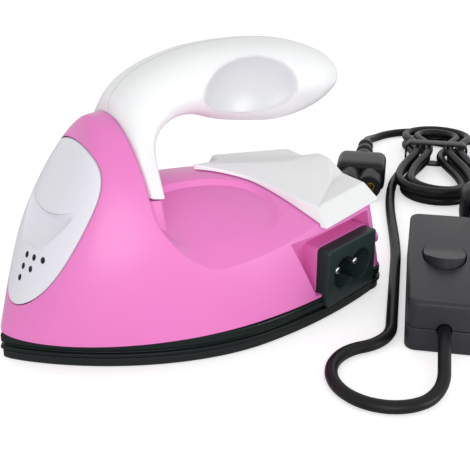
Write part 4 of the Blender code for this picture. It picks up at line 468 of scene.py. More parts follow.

# Finishes of the imported inner parts
INNER_FINISHES = {
    "steel": ("handle_screw_front", "handle_screw_rear", "heater_clamp", "clamp_screw_front",
              "clamp_screw_rear", "base_screw_front", "base_screw_left", "base_screw_right", "thermostat",
              "shell_screw"),
    "ceramic": ("heater_block", "thermal_fuse"),
    "cord": ("wire_inlet_live", "wire_inlet_neutral", "wire_fuse_rear", "wire_fuse_front"),
    "brass": ("switch_terminal_near", "switch_terminal_far"),
}

# Camera, floor and lamps
CAMERA_LENS = 68.4
CAMERA_SENSOR = 36.0
CAMERA_NEAR = 0.01
CAMERA_AZIMUTH = math.radians(-34.2)
CAMERA_ELEVATION = math.radians(24.3)
CAMERA_DISTANCE = 0.252
CAMERA_TARGET = (0.0091, -0.0110, 0.0229)
FLOOR_HALF = 3.0
FLOOR_GLOW = 0.5
FLOOR_ROUGHNESS = 0.7
FLOOR_SPECULAR = 0.1
WHITE_LIGHT = (1.0, 1.0, 1.0, 1.0)
LAMP_TARGET = (0.0, 0.0, 0.03)
KEY_PLACE = (-0.50, -0.80, 0.30)
KEY_WIDTH = 0.9
KEY_HEIGHT = 0.7
FILL_PLACE = (0.40, -0.66, 0.10)
FILL_WIDTH = 0.36
FILL_HEIGHT = 0.18
COLOUR_LIMITS = {"subtype": "COLOR", "size": 3, "min": 0.0, "max": 1.0}


# Modelling helpers
def place_mesh(name, bm, matrix=None):
    """Turn a bmesh into an object at the origin whose faces point out."""
    bmesh.ops.remove_doubles(bm, verts=bm.verts, dist=MERGE)
    bmesh.ops.recalc_face_normals(bm, faces=bm.faces)
    if matrix is not None:
        bmesh.ops.transform(bm, matrix=matrix, verts=bm.verts)
    mesh = bpy.data.meshes.new(name)
    bm.to_mesh(mesh)
    bm.free()
    item = bpy.data.objects.new(name, mesh)
    bpy.context.scene.collection.objects.link(item)
    return item


def close_ends(bm):
    """Fill the openings that are left at the ends of a shape."""
    edges = [edge for edge in bm.edges if edge.is_boundary]
    if edges:
        bmesh.ops.holes_fill(bm, edges=edges, sides=0)


def laid_grid(bm, columns, rows):
    """Lay a grid of unit size, and list its corners with their columns and rows."""
    bmesh.ops.create_grid(bm, x_segments=columns, y_segments=rows, size=0.5)
    return [(vert, round((vert.co.x + 0.5) * columns), round((vert.co.y + 0.5) * rows))
            for vert in bm.verts]


def wrapped_grid(rings):
    """Grid drawn over a stack of closed rings, with both ends capped."""
    bm = bmesh.new()
    columns = len(rings[0])
    for vert, column, row in laid_grid(bm, columns, len(rings) - 1):
        vert.co = rings[row][column % columns]
    bmesh.ops.remove_doubles(bm, verts=bm.verts, dist=MERGE)
    close_ends(bm)
    return bm


def loft(name, rings, matrix=None):
    return place_mesh(name, wrapped_grid(rings), matrix)


def round_off(bm, geom, width, segments=EDGE_SEGMENTS, affect="EDGES"):
    """Round edges, or the corners of an open profile, by a width."""
    bmesh.ops.bevel(bm, geom=geom, offset=width, offset_type="OFFSET", segments=segments,
                    profile=0.5, affect=affect, material=-1, clamp_overlap=True)


def prism(name, outline, low, high, matrix=None, round_low=0.0, round_high=0.0, segments=EDGE_SEGMENTS):
    """Extrude an outline between two heights, and round its lower and upper rims."""
    bm = bmesh.new()
    verts = [bm.verts.new((x, y, low)) for x, y in outline]
    edges = [bm.edges.new((here, after)) for here, after in zip(verts, verts[1:] + verts[:1])]
    face = bmesh.ops.contextual_create(bm, geom=edges)["faces"][0]
    grown = bmesh.ops.extrude_face_region(bm, geom=[face])["geom"]
    moved = [item for item in grown if isinstance(item, bmesh.types.BMVert)]
    bmesh.ops.translate(bm, vec=(0.0, 0.0, high - low), verts=moved)
    for level, width in ((low, round_low), (high, round_high)):
        if width:
            rim = [edge for edge in bm.edges
                   if all(abs(vert.co.z - level) < MERGE for vert in edge.verts)]
            round_off(bm, rim, width, segments)
    return place_mesh(name, bm, matrix)


def box(name, low, high, matrix=None, soft=0.0):
    """Block between two corners, its edges rounded by `soft`."""
    bm = bmesh.new()
    bmesh.ops.create_cube(bm, size=1.0)
    low, high = Vector(low), Vector(high)
    bmesh.ops.scale(bm, vec=high - low, verts=bm.verts)
    bmesh.ops.translate(bm, vec=(low + high) / 2, verts=bm.verts)
    if soft:
        round_off(bm, bm.edges[:], soft)
    return place_mesh(name, bm, matrix)


def oval(length, width, count, middle=(0.0, 0.0)):
    """Outline of an ellipse, or of a circle where length and width agree."""
    step = math.tau / count
    return [(middle[0] + length / 2 * math.cos(turn * step), middle[1] + width / 2 * math.sin(turn * step))
            for turn in range(count)]


def turned(name, profile, count, matrix=None, soft=0.0):
    """Spin a profile of radius and height about the local Z axis, its corners rounded first."""
    bm = bmesh.new()
    verts = [bm.verts.new((radius, 0.0, height)) for radius, height in profile]
    for here, after in zip(verts, verts[1:]):
        bm.edges.new((here, after))
    if soft:
        round_off(bm, verts[1:-1], soft, affect="VERTICES")
    bmesh.ops.spin(bm, geom=bm.verts[:] + bm.edges[:], cent=(0.0, 0.0, 0.0), axis=(0.0, 0.0, 1.0),
                   angle=math.tau, steps=count, use_merge=True)
    bmesh.ops.remove_doubles(bm, verts=bm.verts, dist=MERGE)
    close_ends(bm)
    return place_mesh(name, bm, matrix)


def rod(name, radius, low, high, matrix=None, count=ROUND_SIDES, soft=0.0):
    """Solid cylinder along the local Z axis."""
    return turned(name, [(0.0, low), (radius, low), (radius, high), (0.0, high)], count, matrix, soft)


def rounded_box_outline(length, width, radius):
    """Outline of a rectangle with round corners, centred on zero."""
    points = []
    for corner, (side_x, side_y) in enumerate(((1, 1), (-1, 1), (-1, -1), (1, -1))):
        middle = (side_x * (length / 2 - radius), side_y * (width / 2 - radius))
        for step in range(CORNER_POINTS + 1):
            turn = QUARTER_TURN * (corner + step / CORNER_POINTS)
            points.append((middle[0] + radius * math.cos(turn), middle[1] + radius * math.sin(turn)))
    return points


def signed_power(value, power):
    """Raise a value to a power and keep its sign, as superellipses need."""
    return math.copysign(abs(value) ** power, value)


def combine(target, tool, operation):
    """Apply a Boolean at once, and remove the tool."""
    modifier = target.modifiers.new(operation.lower(), "BOOLEAN")
    modifier.operation = operation
    modifier.object = tool
    bpy.context.view_layer.update()
    evaluated = target.evaluated_get(bpy.context.evaluated_depsgraph_get())
    mesh = bpy.data.meshes.new_from_object(evaluated)
    target.modifiers.clear()
    target.data = mesh
    bpy.data.objects.remove(tool, do_unlink=True)
    return target


def cut(target, tool):
    return combine(target, tool, "DIFFERENCE")


def join(target, tool):
    return combine(target, tool, "UNION")


def keep_common(target, tool):
    return combine(target, tool, "INTERSECT")


def axis_matrix(place, direction):
    """Frame at `place` whose Z axis runs along `direction`."""
    turn = Vector(direction).to_track_quat("Z", "Y").to_matrix().to_4x4()
    return Matrix.Translation(Vector(place)) @ turn


def shifted(matrix, x=0.0, y=0.0, z=0.0):
    """Frame moved along its own axes."""
    return matrix @ Matrix.Translation((x, y, z))


def drill(target, place, direction, diameter, depth, count):
    """Cut a round hole that starts an overrun outside `place`."""
    tool = turned("drill", [(diameter / 2, -OVERRUN), (diameter / 2, depth)], count,
                  axis_matrix(place, direction))
    return cut(target, tool)


def dress(item, finish, nodes=(), body=BODY, angle=SHARP_ANGLE):
    """Give a finished piece its material, shading and place in the frame."""
    item.data.materials.clear()
    item.data.materials.append(material_for(finish))
    if item.type == "MESH":
        item.data.shade_smooth()
        for polygon in item.data.polygons:
            if polygon.area > FLAT_AREA:
                polygon.use_smooth = False
        item.data.set_sharp_from_angle(angle=angle)
    if nodes:
        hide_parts(*nodes)
    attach(item, body)
    return item


def cord_curve(name, points):
    """Round cord along a list of points, with flat filled ends."""
    curve = bpy.data.curves.new(name, "CURVE")
    curve.dimensions = "3D"
    curve.bevel_depth = CORD_DIAMETER / 2
    curve.bevel_resolution = CORD_RESOLUTION
    curve.use_fill_caps = True
    spline = curve.splines.new("POLY")
    spline.points.add(len(points) - 1)
    for knot, point in zip(spline.points, points):
        knot.co = (*point, 1.0)
    item = bpy.data.objects.new(name, curve)
    bpy.context.scene.collection.objects.link(item)
    return item


def refined(rows, count):
    """Rows of numbers, with a count of smooth steps filled in from each row to the next."""
    ends = [rows[0]] + list(rows) + [rows[-1]]
    out = []
    for here in range(1, len(ends) - 2):
        a, b, c, d = ends[here - 1:here + 3]
        for number in range(count):
            t = number / count
            out.append([0.5 * (2 * q + (r - p) * t + (2 * p - 5 * q + 4 * r - s) * t ** 2
                               + (3 * q - p - 3 * r + s) * t ** 3) for p, q, r, s in zip(a, b, c, d)])
    out.append(list(rows[-1]))
    return out


# Outlines of the base and sections of the body
def mirror_half(half):
    """Close a half outline, from nose to heel on the -Y side, with its mirror image."""
    return half + [(x, -y) for x, y in reversed(half[1:-1])]


def nose_half(nose, heel, half_width, blunt, square, corner, flat=1.0):
    """Half outline with a blunt nose, its widest point, and a rounded heel corner."""
    points = []
    for step in range(NOSE_STEPS + 1):
        across = math.sin(step / NOSE_STEPS * math.pi / 2)
        along = 1 - (1 - across ** square) ** (1 / blunt)
        points.append((nose + (WIDEST_X - nose) * along, -half_width * across * flat))
    side_end = heel - corner
    for step in range(1, SIDE_STEPS + 1):
        x = WIDEST_X + (side_end - WIDEST_X) * step / SIDE_STEPS
        share = (x - WIDEST_X) / (heel - WIDEST_X)
        points.append((x, -(half_width - HEEL_DROP * share ** 2) * flat))
    last = -points[-1][1]
    for step in range(1, CORNER_STEPS + 1):
        turn = step / CORNER_STEPS * math.pi / 2
        points.append((side_end + corner * math.sin(turn), -(last - corner * flat * (1 - math.cos(turn)))))
    points.append((heel, 0.0))
    return points


def base_outline(inset):
    """Outline of the base, drawn in by `inset`."""
    return mirror_half(nose_half(NOSE_X + inset, HEEL_X - inset, BASE_WIDTH / 2 - inset,
                                 NOSE_BLUNT, NOSE_SQUARE, CORNER_RADIUS - inset))


def at_height(outline, z):
    return [(x, y, z) for x, y in outline]


def nose_line(z):
    """Where the nose's middle line stands at a height; it leans back more above its bend."""
    over = z - NOSE_BEND
    gain = math.tan(NOSE_TOP_LEAN) - math.tan(NOSE_LEAN)
    return (NOSE_X + NOSE_STEP + (z - SKIRT_TOP) * math.tan(NOSE_LEAN)
            + gain * (math.hypot(over, NOSE_BEND_SOFT) + over) / 2)


def heel_line(z):
    """Where the heel's outer skin stands at a height."""
    return HEEL_X - SHELL_SETBACK - (z - SKIRT_TOP) * math.tan(HEEL_DRAFT)


def wall_width(z):
    """Half width of the body's outer skin at its widest place."""
    return BASE_WIDTH / 2 - z * math.tan(WALL_DRAFT)


def wall_half(x, z):
    """Half width of the body's outer wall behind its widest place."""
    share = (x - WIDEST_X) / (heel_line(z) - WIDEST_X)
    return wall_width(z) - HEEL_DROP * share ** 2


def hull_section(z, inset):
    """Level section of the body, `inset` inside its outer skin."""
    share = min(z / HOOD_TOP, 1.0)
    rise = min(z / (HOOD_TOP - inset), TOP_SHARE)
    flat = (1 - rise ** TOP_ROUND) ** 0.5
    nose = nose_line(z) + inset / math.cos(NOSE_LEAN)
    half = nose_half(nose, heel_line(z) - inset, wall_width(z) - inset, NOSE_BLUNT + TOP_BLUNT * share,
                     NOSE_SQUARE + TOP_SQUARE * share, CORNER_RADIUS, flat)
    return at_height(mirror_half(half), z)


def hull_levels(bottom, inset):
    """Heights of the body's sections, closer together towards the round top."""
    top = HOOD_TOP - inset
    return [bottom + (top * TOP_SHARE - bottom) * math.sin(step / HULL_STEPS * math.pi / 2)
            for step in range(HULL_STEPS + 1)]


def hull(name, bottom, inset):
    """Closed solid of the whole body form, before the deck is cut."""
    return loft(name, [hull_section(z, inset) for z in hull_levels(bottom, inset)])


def hull_nose_x(y, z):
    """Where the outer skin of the nose lies at a given offset and height."""
    share = z / HOOD_TOP
    half = wall_width(z) * (1 - share ** TOP_ROUND) ** 0.5
    nose = nose_line(z)
    power = 1 / (NOSE_BLUNT + TOP_BLUNT * share)
    along = 1 - (1 - (abs(y) / half) ** (NOSE_SQUARE + TOP_SQUARE * share)) ** power
    return nose + (WIDEST_X - nose) * along


def deck_height(x, y):
    """Height of the saddle deck, without the scoops."""
    along = x - DECK_START
    reach = HEEL_X - DECK_START
    ridge = DECK_RIDGE
    if along > 0:
        fall = along / reach
        bend = DECK_BEND_SHARE * fall + (1 - DECK_BEND_SHARE) * fall ** 2
        ridge -= (DECK_RIDGE - DECK_RIDGE_END) * bend
    edge = DECK_EDGE + (DECK_EDGE_END - DECK_EDGE) * max(along, 0.0) / reach
    height = ridge - (ridge - edge) * (abs(y) / DECK_HALF) ** DECK_CROWN
    from_hood = x - HOOD_REAR
    if from_hood < DECK_FILLET:
        bend = 1 - max(from_hood, 0.0) / DECK_FILLET
        height += (DECK_RIDGE - height) * (1 - (1 - bend ** 2) ** 0.5)
    return height


# Base and body shell
def make_soleplate():
    rings = [at_height(base_outline(SKIRT_LIP + SOLE_CHAMFER), 0.0),
             at_height(base_outline(SKIRT_LIP), SOLE_CHAMFER),
             at_height(base_outline(SKIRT_LIP), SOLE_THICKNESS)]
    dress(loft("soleplate_fine", rings), "sole", ("soleplate",))


def make_skirt():
    """Black tray under the shell: rounded lip, groove and upper band over a floor."""
    lip_top = SKIRT_BOTTOM + SKIRT_GROOVE + SKIRT_LIP_HEIGHT
    groove = SKIRT_LIP + SKIRT_GROOVE
    profile = [
        (SKIRT_BOTTOM, SKIRT_LIP),
        (SKIRT_BOTTOM + SKIRT_GROOVE / 4, SKIRT_LIP / 3),
        (SKIRT_BOTTOM + SKIRT_GROOVE / 2, 0.0),
        (lip_top - SKIRT_GROOVE / 2, 0.0),
        (lip_top - SKIRT_GROOVE / 4, SKIRT_LIP / 3),
        (lip_top, groove),
        (lip_top + SKIRT_GROOVE, groove),
        (lip_top + 2 * SKIRT_GROOVE, SKIRT_LIP / 2),
        (SKIRT_TOP - SKIRT_GROOVE, SKIRT_LIP / 2),
        (SKIRT_TOP - SKIRT_GROOVE / 3, SKIRT_LIP * 2 / 3),
        (SKIRT_TOP, SKIRT_LIP),
    ]
    skirt = loft("base_skirt_fine", [at_height(base_outline(inset), z) for z, inset in profile])
    cut(skirt, prism("pocket", base_outline(SKIRT_WALL + SKIRT_LIP / 2), FLOOR_TOP, SKIRT_TOP + OVERRUN))
    half = INLET_WIDTH / 2 + GAP
    cut(skirt, box("notch", (-half, INLET_BOTTOM - GAP, -INLET_BODY_DEPTH - OVERRUN),
                   (half, SKIRT_TOP + OVERRUN, OVERRUN), inlet_matrix()))
    dress(skirt, "band", ("base_skirt",))


def deck_cutter(drop, start):
    """Solid above the deck: a grid laid on its height, then drawn up past the hood."""
    end = HEEL_X + OVERRUN
    xs = [start] + [HOOD_REAR + DECK_FILLET * (1 - math.cos(step / FILLET_STEPS * math.pi / 2))
                    for step in range(1, FILLET_STEPS + 1)]
    deck_from = xs[-1]
    xs += [deck_from + (end - deck_from) * step / DECK_STEPS for step in range(1, DECK_STEPS + 1)]
    half = BASE_WIDTH / 2 + OVERRUN
    ys = [half * step / DECK_ACROSS for step in range(-DECK_ACROSS, DECK_ACROSS + 1)]
    bm = bmesh.new()
    for vert, column, row in laid_grid(bm, len(xs) - 1, len(ys) - 1):
        x, y = xs[column], ys[row]
        vert.co = (x, y, deck_height(x, y) - drop)
    grown = bmesh.ops.extrude_face_region(bm, geom=bm.faces[:])["geom"]
    for item in grown:
        if isinstance(item, bmesh.types.BMVert):
            item.co.z = HOOD_TOP + OVERRUN
    return place_mesh("deck_cutter", bm)


def scoop_cutter(side):
    """Shallow finger scoop: a step at its inner rim that fades out towards the edge of the deck."""
    middle = (SCOOP_INNER + SCOOP_OUTER) / 2
    half = (SCOOP_OUTER - SCOOP_INNER) / 2
    rings = []
    for number in range(1, SCOOP_RINGS + 2):
        share = min(number / SCOOP_RINGS, SCOOP_RIM_SHARE)
        ring = []
        for step in range(SCOOP_STEPS):
            turn = step / SCOOP_STEPS * math.tau
            along = signed_power(math.cos(turn), 2 / SCOOP_ROUND)
            across = signed_power(math.sin(turn), 2 / SCOOP_ROUND)
            x = HOOD_REAR + SCOOP_CENTRE + SCOOP_HALF_LENGTH * share * along
            y = side * (middle + half * share * across)
            fade = max(abs(y) - SCOOP_INNER, 0.0) / SCOOP_FADE
            inside = number <= SCOOP_RINGS
            ring.append((x, y, deck_height(x, y) + (-SCOOP_DEPTH * (1 - fade ** 2) if inside else GAP)))
        rings.append(ring)
    rings.append([(x, y, HOOD_TOP + OVERRUN) for x, y, z in rings[-1]])
    return loft("scoop_cutter", rings)


def inlet_matrix():
    """Frame of the inlet: local X runs along its face to the heel, local Y up, local Z out of the iron."""
    place = Vector((HEEL_X - INLET_PLACE, -INLET_OUT, 0.0))
    along = Vector((math.cos(INLET_ANGLE), math.sin(INLET_ANGLE), 0.0))
    out = Vector((math.sin(INLET_ANGLE), -math.cos(INLET_ANGLE), 0.0))
    up = Vector((0.0, 0.0, 1.0))
    return Matrix.Translation(place) @ Matrix((along, up, out)).transposed().to_4x4()


def slanted_recess(grow, depth):
    """Block that cuts the flat recess round the inlet: slanted at its left, with a ledge at its foot."""
    half = INLET_WIDTH / 2
    top = INLET_TOP + RECESS_TOP + grow
    ledge = 0.0 if grow else SHELL_BOTTOM + RECESS_LEDGE
    outline = [
        (-half - RECESS_LEFT_BOTTOM - grow, ledge),
        (-half - GAP, ledge),
        (-half - GAP, 0.0),
        (half + RECESS_RIGHT + grow, 0.0),
        (half + RECESS_RIGHT + grow, top),
        (-half - RECESS_LEFT_TOP - grow, top),
    ]
    return prism("recess", outline, -INLET_SINK - depth, OVERRUN + INLET_FLANGE, inlet_matrix())


def make_pedestal():
    """Pink foot that carries the leg of the handle on, below its white end, down into the deck."""
    near = handle_half_ring(HANDLE_SHARES[0], -1)
    far = handle_half_ring(HANDLE_SHARES[0], 1)
    drop = HANDLE_FOOT - GAP - DECK_EDGE
    depth = HANDLE_REACH * HANDLE_SHARES[0][2]
    rings = []
    for down, spread in refined(PEDESTAL_SHARES, PEDESTAL_FILL):
        ring = []
        for x, y, z in far + near[-2:0:-1]:
            back = x - HOOD_REAR
            flared = back * (1 + PEDESTAL_FLARE_SHARE * down) - (1 - back / depth) * OVERRUN
            ring.append((HOOD_REAR + flared, y * spread, z - GAP - drop * down))
        rings.append(ring)
    return loft("pedestal", rings)


def panel_block(grow, front, back):
    """Block with the egg outline of the front panel, seen from the nose."""
    outline = []
    for step in range(PANEL_STEPS):
        turn = step / PANEL_STEPS * math.tau
        up = math.sin(turn)
        power = 2 / PANEL_TOP_SQUARE if up > 0 else 1.0
        tall = (PANEL_TOP - PANEL_WIDEST if up > 0 else PANEL_WIDEST - PANEL_BOTTOM) + grow
        outline.append(((PANEL_HALF_WIDTH + grow) * signed_power(math.cos(turn), power),
                        PANEL_WIDEST + tall * signed_power(up, power)))
    start = NOSE_X + front
    end = HOOD_REAR - WALL - back
    return loft("panel_block", [[(x, y, z) for y, z in outline] for x in (start, end)])


def inlet_box():
    """Block inside the recess that the inlet's flange sits on, with one round top corner."""
    half = INLET_WIDTH / 2
    outline = [(-half, SHELL_BOTTOM), (half, SHELL_BOTTOM), (half, INLET_TOP)]
    for step in range(BOX_CORNER_STEPS + 1):
        turn = step / BOX_CORNER_STEPS * math.pi / 2
        outline.append((-half + INLET_CORNER * (1 - math.sin(turn)),
                        INLET_TOP - INLET_CORNER * (1 - math.cos(turn))))
    return prism("inlet_box", outline, -INLET_SINK - WALL, -INLET_FLANGE - GAP, inlet_matrix())


def peg(side):
    """Peg at the heel, with its end rounded."""
    profile = [(PEG_DIAMETER / 2, -PEG_REACH - WALL * 2), (PEG_DIAMETER / 2, 0.0), (0.0, 0.0)]
    place = axis_matrix((HEEL_X + PEG_REACH, side * PEG_SPREAD, PEG_HEIGHT), (1, 0, 0))
    return turned("peg", profile, WIDE_SIDES, place, PEG_DIAMETER / 8)


def shell_hollow():
    """Inside of the shell, a wall's thickness within its skin, below the deck and round the recess."""
    inset = TONGUE_INSET + TONGUE_WALL
    foot = SHELL_BOTTOM - TONGUE_DEPTH - OVERRUN
    ledge = SHELL_BOTTOM + TONGUE_LEDGE
    rings = [at_height(base_outline(inset), z) for z in (foot, SHELL_BOTTOM)]
    rings.append(hull_section(ledge, inset))
    rings += [hull_section(z, WALL) for z in hull_levels(ledge, WALL)[1:]]
    hollow = loft("hollow", rings)
    cut(hollow, deck_cutter(WALL + SCOOP_DEPTH, HOOD_REAR - WALL))
    cut(hollow, slanted_recess(WALL, WALL))
    return hollow


def make_shell():
    """Pink moulded body: hood, saddle deck, finger scoops, inlet box and heel pegs, hollow inside."""
    foot = SHELL_BOTTOM - TONGUE_DEPTH
    rings = [at_height(base_outline(TONGUE_INSET), z) for z in (foot, SHELL_BOTTOM)]
    rings += [hull_section(z, 0.0) for z in hull_levels(SHELL_BOTTOM, 0.0)]
    shell = loft("body_shell_fine", rings)
    cut(shell, deck_cutter(0.0, HOOD_REAR))
    for side in (-1, 1):
        cut(shell, scoop_cutter(side))
    join(shell, make_pedestal())
    cut(shell, slanted_recess(0.0, 0.0))
    join(shell, inlet_box())
    for side in (-1, 1):
        join(shell, peg(side))
    cut(shell, shell_hollow())
    cut(shell, panel_block(GAP, -OVERRUN, PANEL_DEPTH - GAP))
    half = INLET_BODY_WIDTH / 2 + GAP
    top = INLET_MIDDLE + INLET_BODY_HEIGHT / 2 + GAP
    cut(shell, box("pocket", (-half, foot - OVERRUN, -INLET_SINK - WALL - OVERRUN * 2),
                   (half, top, OVERRUN), inlet_matrix()))
    dress(shell, "pink", ("body_shell",))


# Front panel, handle, rear cover and inlet
def dish_cutter():
    """Inverted triangular scoop above the vents."""
    rings = []
    for down, wide, deep in refined(DISH_SHARES, DISH_FILL):
        z = DISH_TOP - (DISH_TOP - DISH_BOTTOM) * down
        half = DISH_HALF_WIDTH * wide
        lift = DISH_LIFT * (1 - down)
        ring = []
        for step in range(DISH_STEPS + 1):
            across = -1 + 2 * step / DISH_STEPS
            sink = DISH_DEPTH * deep * (1 - abs(across) ** DISH_ROUND_SHARE)
            level = z + lift * across ** 2
            skin = hull_nose_x(half * across, level)
            ring.append((skin + sink - GAP * abs(across), half * across, level))
        front = hull_nose_x(0.0, z) - OVERRUN
        ring += [(front, y, level) for x, y, level in reversed(ring)]
        rings.append(ring)
    return loft("dish", rings)


def vent_places():
    """Where the vents' middles lie on the nose: three, two and one, on one side of the panel's middle."""
    places = []
    for row in range(VENT_ROWS):
        for number in range(VENT_ROWS - row):
            y = -VENT_SIDE - number * VENT_PITCH
            z = VENT_TOP - row * VENT_ROW_PITCH + number * VENT_CLIMB
            places.append(Vector((hull_nose_x(y, z), y, z)))
    return places


def make_panel():
    """Pale panel let into the nose, with a dish and six vents, the walls of their holes painted dark as
    shade.
    """
    panel = panel_block(0.0, -OVERRUN, PANEL_DEPTH)
    keep_common(panel, hull("skin", SHELL_BOTTOM, 0.0))
    cut(panel, hull("hollow", SHELL_BOTTOM - OVERRUN, PANEL_DEPTH))
    panel.name = "front_panel_fine"
    cut(panel, dish_cutter())
    inward = Vector((math.cos(NOSE_LEAN), 0.0, -math.sin(NOSE_LEAN)))
    for place in vent_places():
        drill(panel, place, inward, VENT_DIAMETER, PANEL_DEPTH + OVERRUN * 2, VENT_SIDES)
    dress(panel, "panel", ("front_panel",))
    # Walls inside the vent holes take the dark finish as painted shade
    panel.data.materials.append(material_for("vent"))
    for polygon in panel.data.polygons:
        for place in vent_places():
            away = place - polygon.center
            aside = away - inward * away.dot(inward)
            near = aside.length < VENT_DIAMETER * VENT_SHADE_SHARE
            if near and abs(polygon.normal.dot(inward)) < VENT_WALL_SHARE:
                polygon.material_index = 1


def thumb_bed(x, z):
    """How far out the bed of the thumb hollow lies, or None away from it."""
    away = ((x - HOOD_REAR - THUMB_PLACE) / THUMB_HALF_LENGTH) ** 2
    away += ((z - THUMB_HEIGHT) / THUMB_HALF_HEIGHT) ** 2
    return THUMB_OUT - THUMB_REACH * (1 - away) ** 0.5 if away < 1.0 else None


def handle_half_ring(row, side):
    """Half section of the handle, from its top round one side to its underside, closed at the split."""
    top_x, top_z, under_x, under_z, wide, square = row
    top = Vector((HOOD_REAR + HANDLE_REACH * top_x, 0.0, HANDLE_FOOT + HANDLE_RISE * top_z))
    under = Vector((HOOD_REAR + HANDLE_REACH * under_x, 0.0, HANDLE_FOOT + HANDLE_RISE * under_z))
    middle = (top + under) / 2
    reach = (top - under) / 2
    ring = []
    for step in range(HANDLE_STEPS + 1):
        turn = step / HANDLE_STEPS * math.pi
        power = 2 / (square if math.cos(turn) > 0 else HANDLE_UNDER_SQUARE)
        point = middle + reach * signed_power(math.cos(turn), power)
        y = max(LEG_HALF_WIDTH * wide * max(math.sin(turn), 0.0) ** power, GAP / 2)
        bed = thumb_bed(point.x, point.z)
        if bed is not None:
            blend = min(max(0.5 + (bed - y) / (2 * THUMB_RIM), 0.0), 1.0)
            y = bed + (y - bed) * blend - THUMB_RIM * blend * (1 - blend)
        ring.append((point.x, side * y, point.z))
    return ring


def mark_thumb_shade(half):
    """Store how much of the hollow's painted shade each point of a handle half takes."""
    mask = half.data.attributes.new("thumb_hollow", "FLOAT", "POINT")
    for vert in half.data.vertices:
        bed = thumb_bed(vert.co.x, vert.co.z)
        if bed is not None:
            mask.data[vert.index].value = min(max(1 - (bed - abs(vert.co.y)) / THUMB_SHADE_FADE, 0.0), 1.0)


def make_handle():
    """Two halves that close round the hood's edge, each with a thumb hollow, held by two cross screws."""
    rows = refined(HANDLE_SHARES, HANDLE_FILL)
    screws = ((HANDLE_SCREW_FRONT, HANDLE_SCREW_FRONT_HEIGHT),
              (HANDLE_SCREW_REAR, HANDLE_SCREW_REAR_HEIGHT))
    for name, side in (("handle_left", -1), ("handle_right", 1)):
        half = loft(name + "_fine", [handle_half_ring(row, side) for row in rows])
        if side > 0:
            for back, z in screws:
                drill(half, (HOOD_REAR + back, LEG_HALF_WIDTH, z), (0, -1, 0),
                      SCREW_HEAD_DIAMETER + 2 * GAP, LEG_HALF_WIDTH - HANDLE_SCREW_SEAT, WIDE_SIDES)
        # Mark the thumb hollow's bed for its painted shade
        mark_thumb_shade(half)
        dress(half, "handle", (name,), angle=HANDLE_SHARP_ANGLE)


def cover_ridge(back):
    """Height of the ridge line of the cover's front facets, `back` metres before the heel."""
    slope = (COVER_TIP_HEIGHT - COVER_NOTCH_HEIGHT) / (COVER_TIP - COVER_NOTCH)
    return COVER_TIP_HEIGHT + slope * (back - COVER_TIP)


def facet_point(back, across):
    """Point on a front facet; both facets fall from the ridge to the shoulders."""
    fall = (cover_ridge(COVER_SHOULDER) - COVER_SHOULDER_HEIGHT) / COVER_SHOULDER_HALF
    return (HEEL_X - back, across, cover_ridge(back) - fall * abs(across))


def cover_corners(bm, side):
    """Curved edge of one front facet of the rear cover, and the named corners on its side."""
    heel_x = HEEL_X - COVER_HEEL
    valley_height = facet_point(COVER_VALLEY, COVER_VALLEY_HALF)[2]
    edge = [bm.verts.new(facet_point(COVER_TIP + (COVER_SHOULDER - COVER_TIP) * along,
                                     side * COVER_SHOULDER_HALF * across))
            for along, across in refined(COVER_EDGE_SHARES, COVER_EDGE_FILL)]
    places = {
        "shoulder": facet_point(COVER_SHOULDER, side * COVER_SHOULDER_HALF),
        "valley": facet_point(COVER_VALLEY, side * COVER_VALLEY_HALF),
        "step": (HEEL_X - COVER_VALLEY + COVER_STEP / 4, side * COVER_VALLEY_HALF,
                 valley_height - COVER_STEP),
        "heel": (heel_x, side * COVER_HEEL_HALF, COVER_HEEL_HEIGHT),
        "foot": (heel_x, side * COVER_FIN_FOOT, COVER_HEEL_HEIGHT),
        "fin": (heel_x, side * COVER_FIN_HALF, COVER_FIN_HEIGHT),
    }
    return edge, {name: bm.verts.new(place) for name, place in places.items()}


def cover_block():
    """Closed faceted block of the rear cover, from its folds down past the deck."""
    bm = bmesh.new()
    notch = bm.verts.new(facet_point(COVER_NOTCH, 0.0))
    tip = bm.verts.new(facet_point(COVER_TIP, 0.0))
    halves = [cover_corners(bm, side) for side in (-1, 1)]
    for edge, at in halves:
        bm.faces.new([tip] + edge + [at["shoulder"], at["valley"], notch])
        for names in COVER_FACES:
            bm.faces.new([notch if name == "notch" else at[name] for name in names])
    (left_edge, left), (right_edge, right) = halves
    bm.faces.new((notch, left["fin"], right["fin"]))
    rim = [("edge", vert) for vert in [tip] + left_edge]
    rim += [(name, left[name]) for name in COVER_DROPS]
    rim += [(name, right[name]) for name in reversed(COVER_DROPS)]
    rim += [("edge", vert) for vert in reversed(right_edge)]
    lower = []
    for name, vert in rim:
        out, z = COVER_DROPS.get(name, (0.0, COVER_SKIRT_FOOT))
        x, y = vert.co.x + out, vert.co.y
        if name in ("shoulder", "heel"):
            y = math.copysign(wall_half(x, z) + COVER_LAP, y)
        lower.append(bm.verts.new((x, y, z)))
    upper = [vert for name, vert in rim]
    for here in range(len(upper)):
        after = (here + 1) % len(upper)
        bm.faces.new((upper[here], upper[after], lower[after], lower[here]))
    bm.faces.new(lower)
    return bm


def make_cover():
    """Faceted rear cover with softened folds: front facets, V notch with a step, rear panels and fin."""
    bm = cover_block()
    bmesh.ops.recalc_face_normals(bm, faces=bm.faces)
    folds = [edge for edge in bm.edges if edge.calc_face_angle(0.0) > COVER_FOLD_ANGLE
             and min(vert.co.z for vert in edge.verts) > COVER_SKIRT_FOOT + COVER_LAP]
    round_off(bm, folds, COVER_SOFTNESS, FOLD_SEGMENTS)
    cover = place_mesh("rear_cover_fine", bm)
    seat = hull("seat", SHELL_BOTTOM, -GAP)
    cut(seat, deck_cutter(-GAP, HOOD_REAR))
    cut(cover, seat)
    dress(cover, "white", ("rear_cover",), angle=COVER_SHARP_ANGLE)


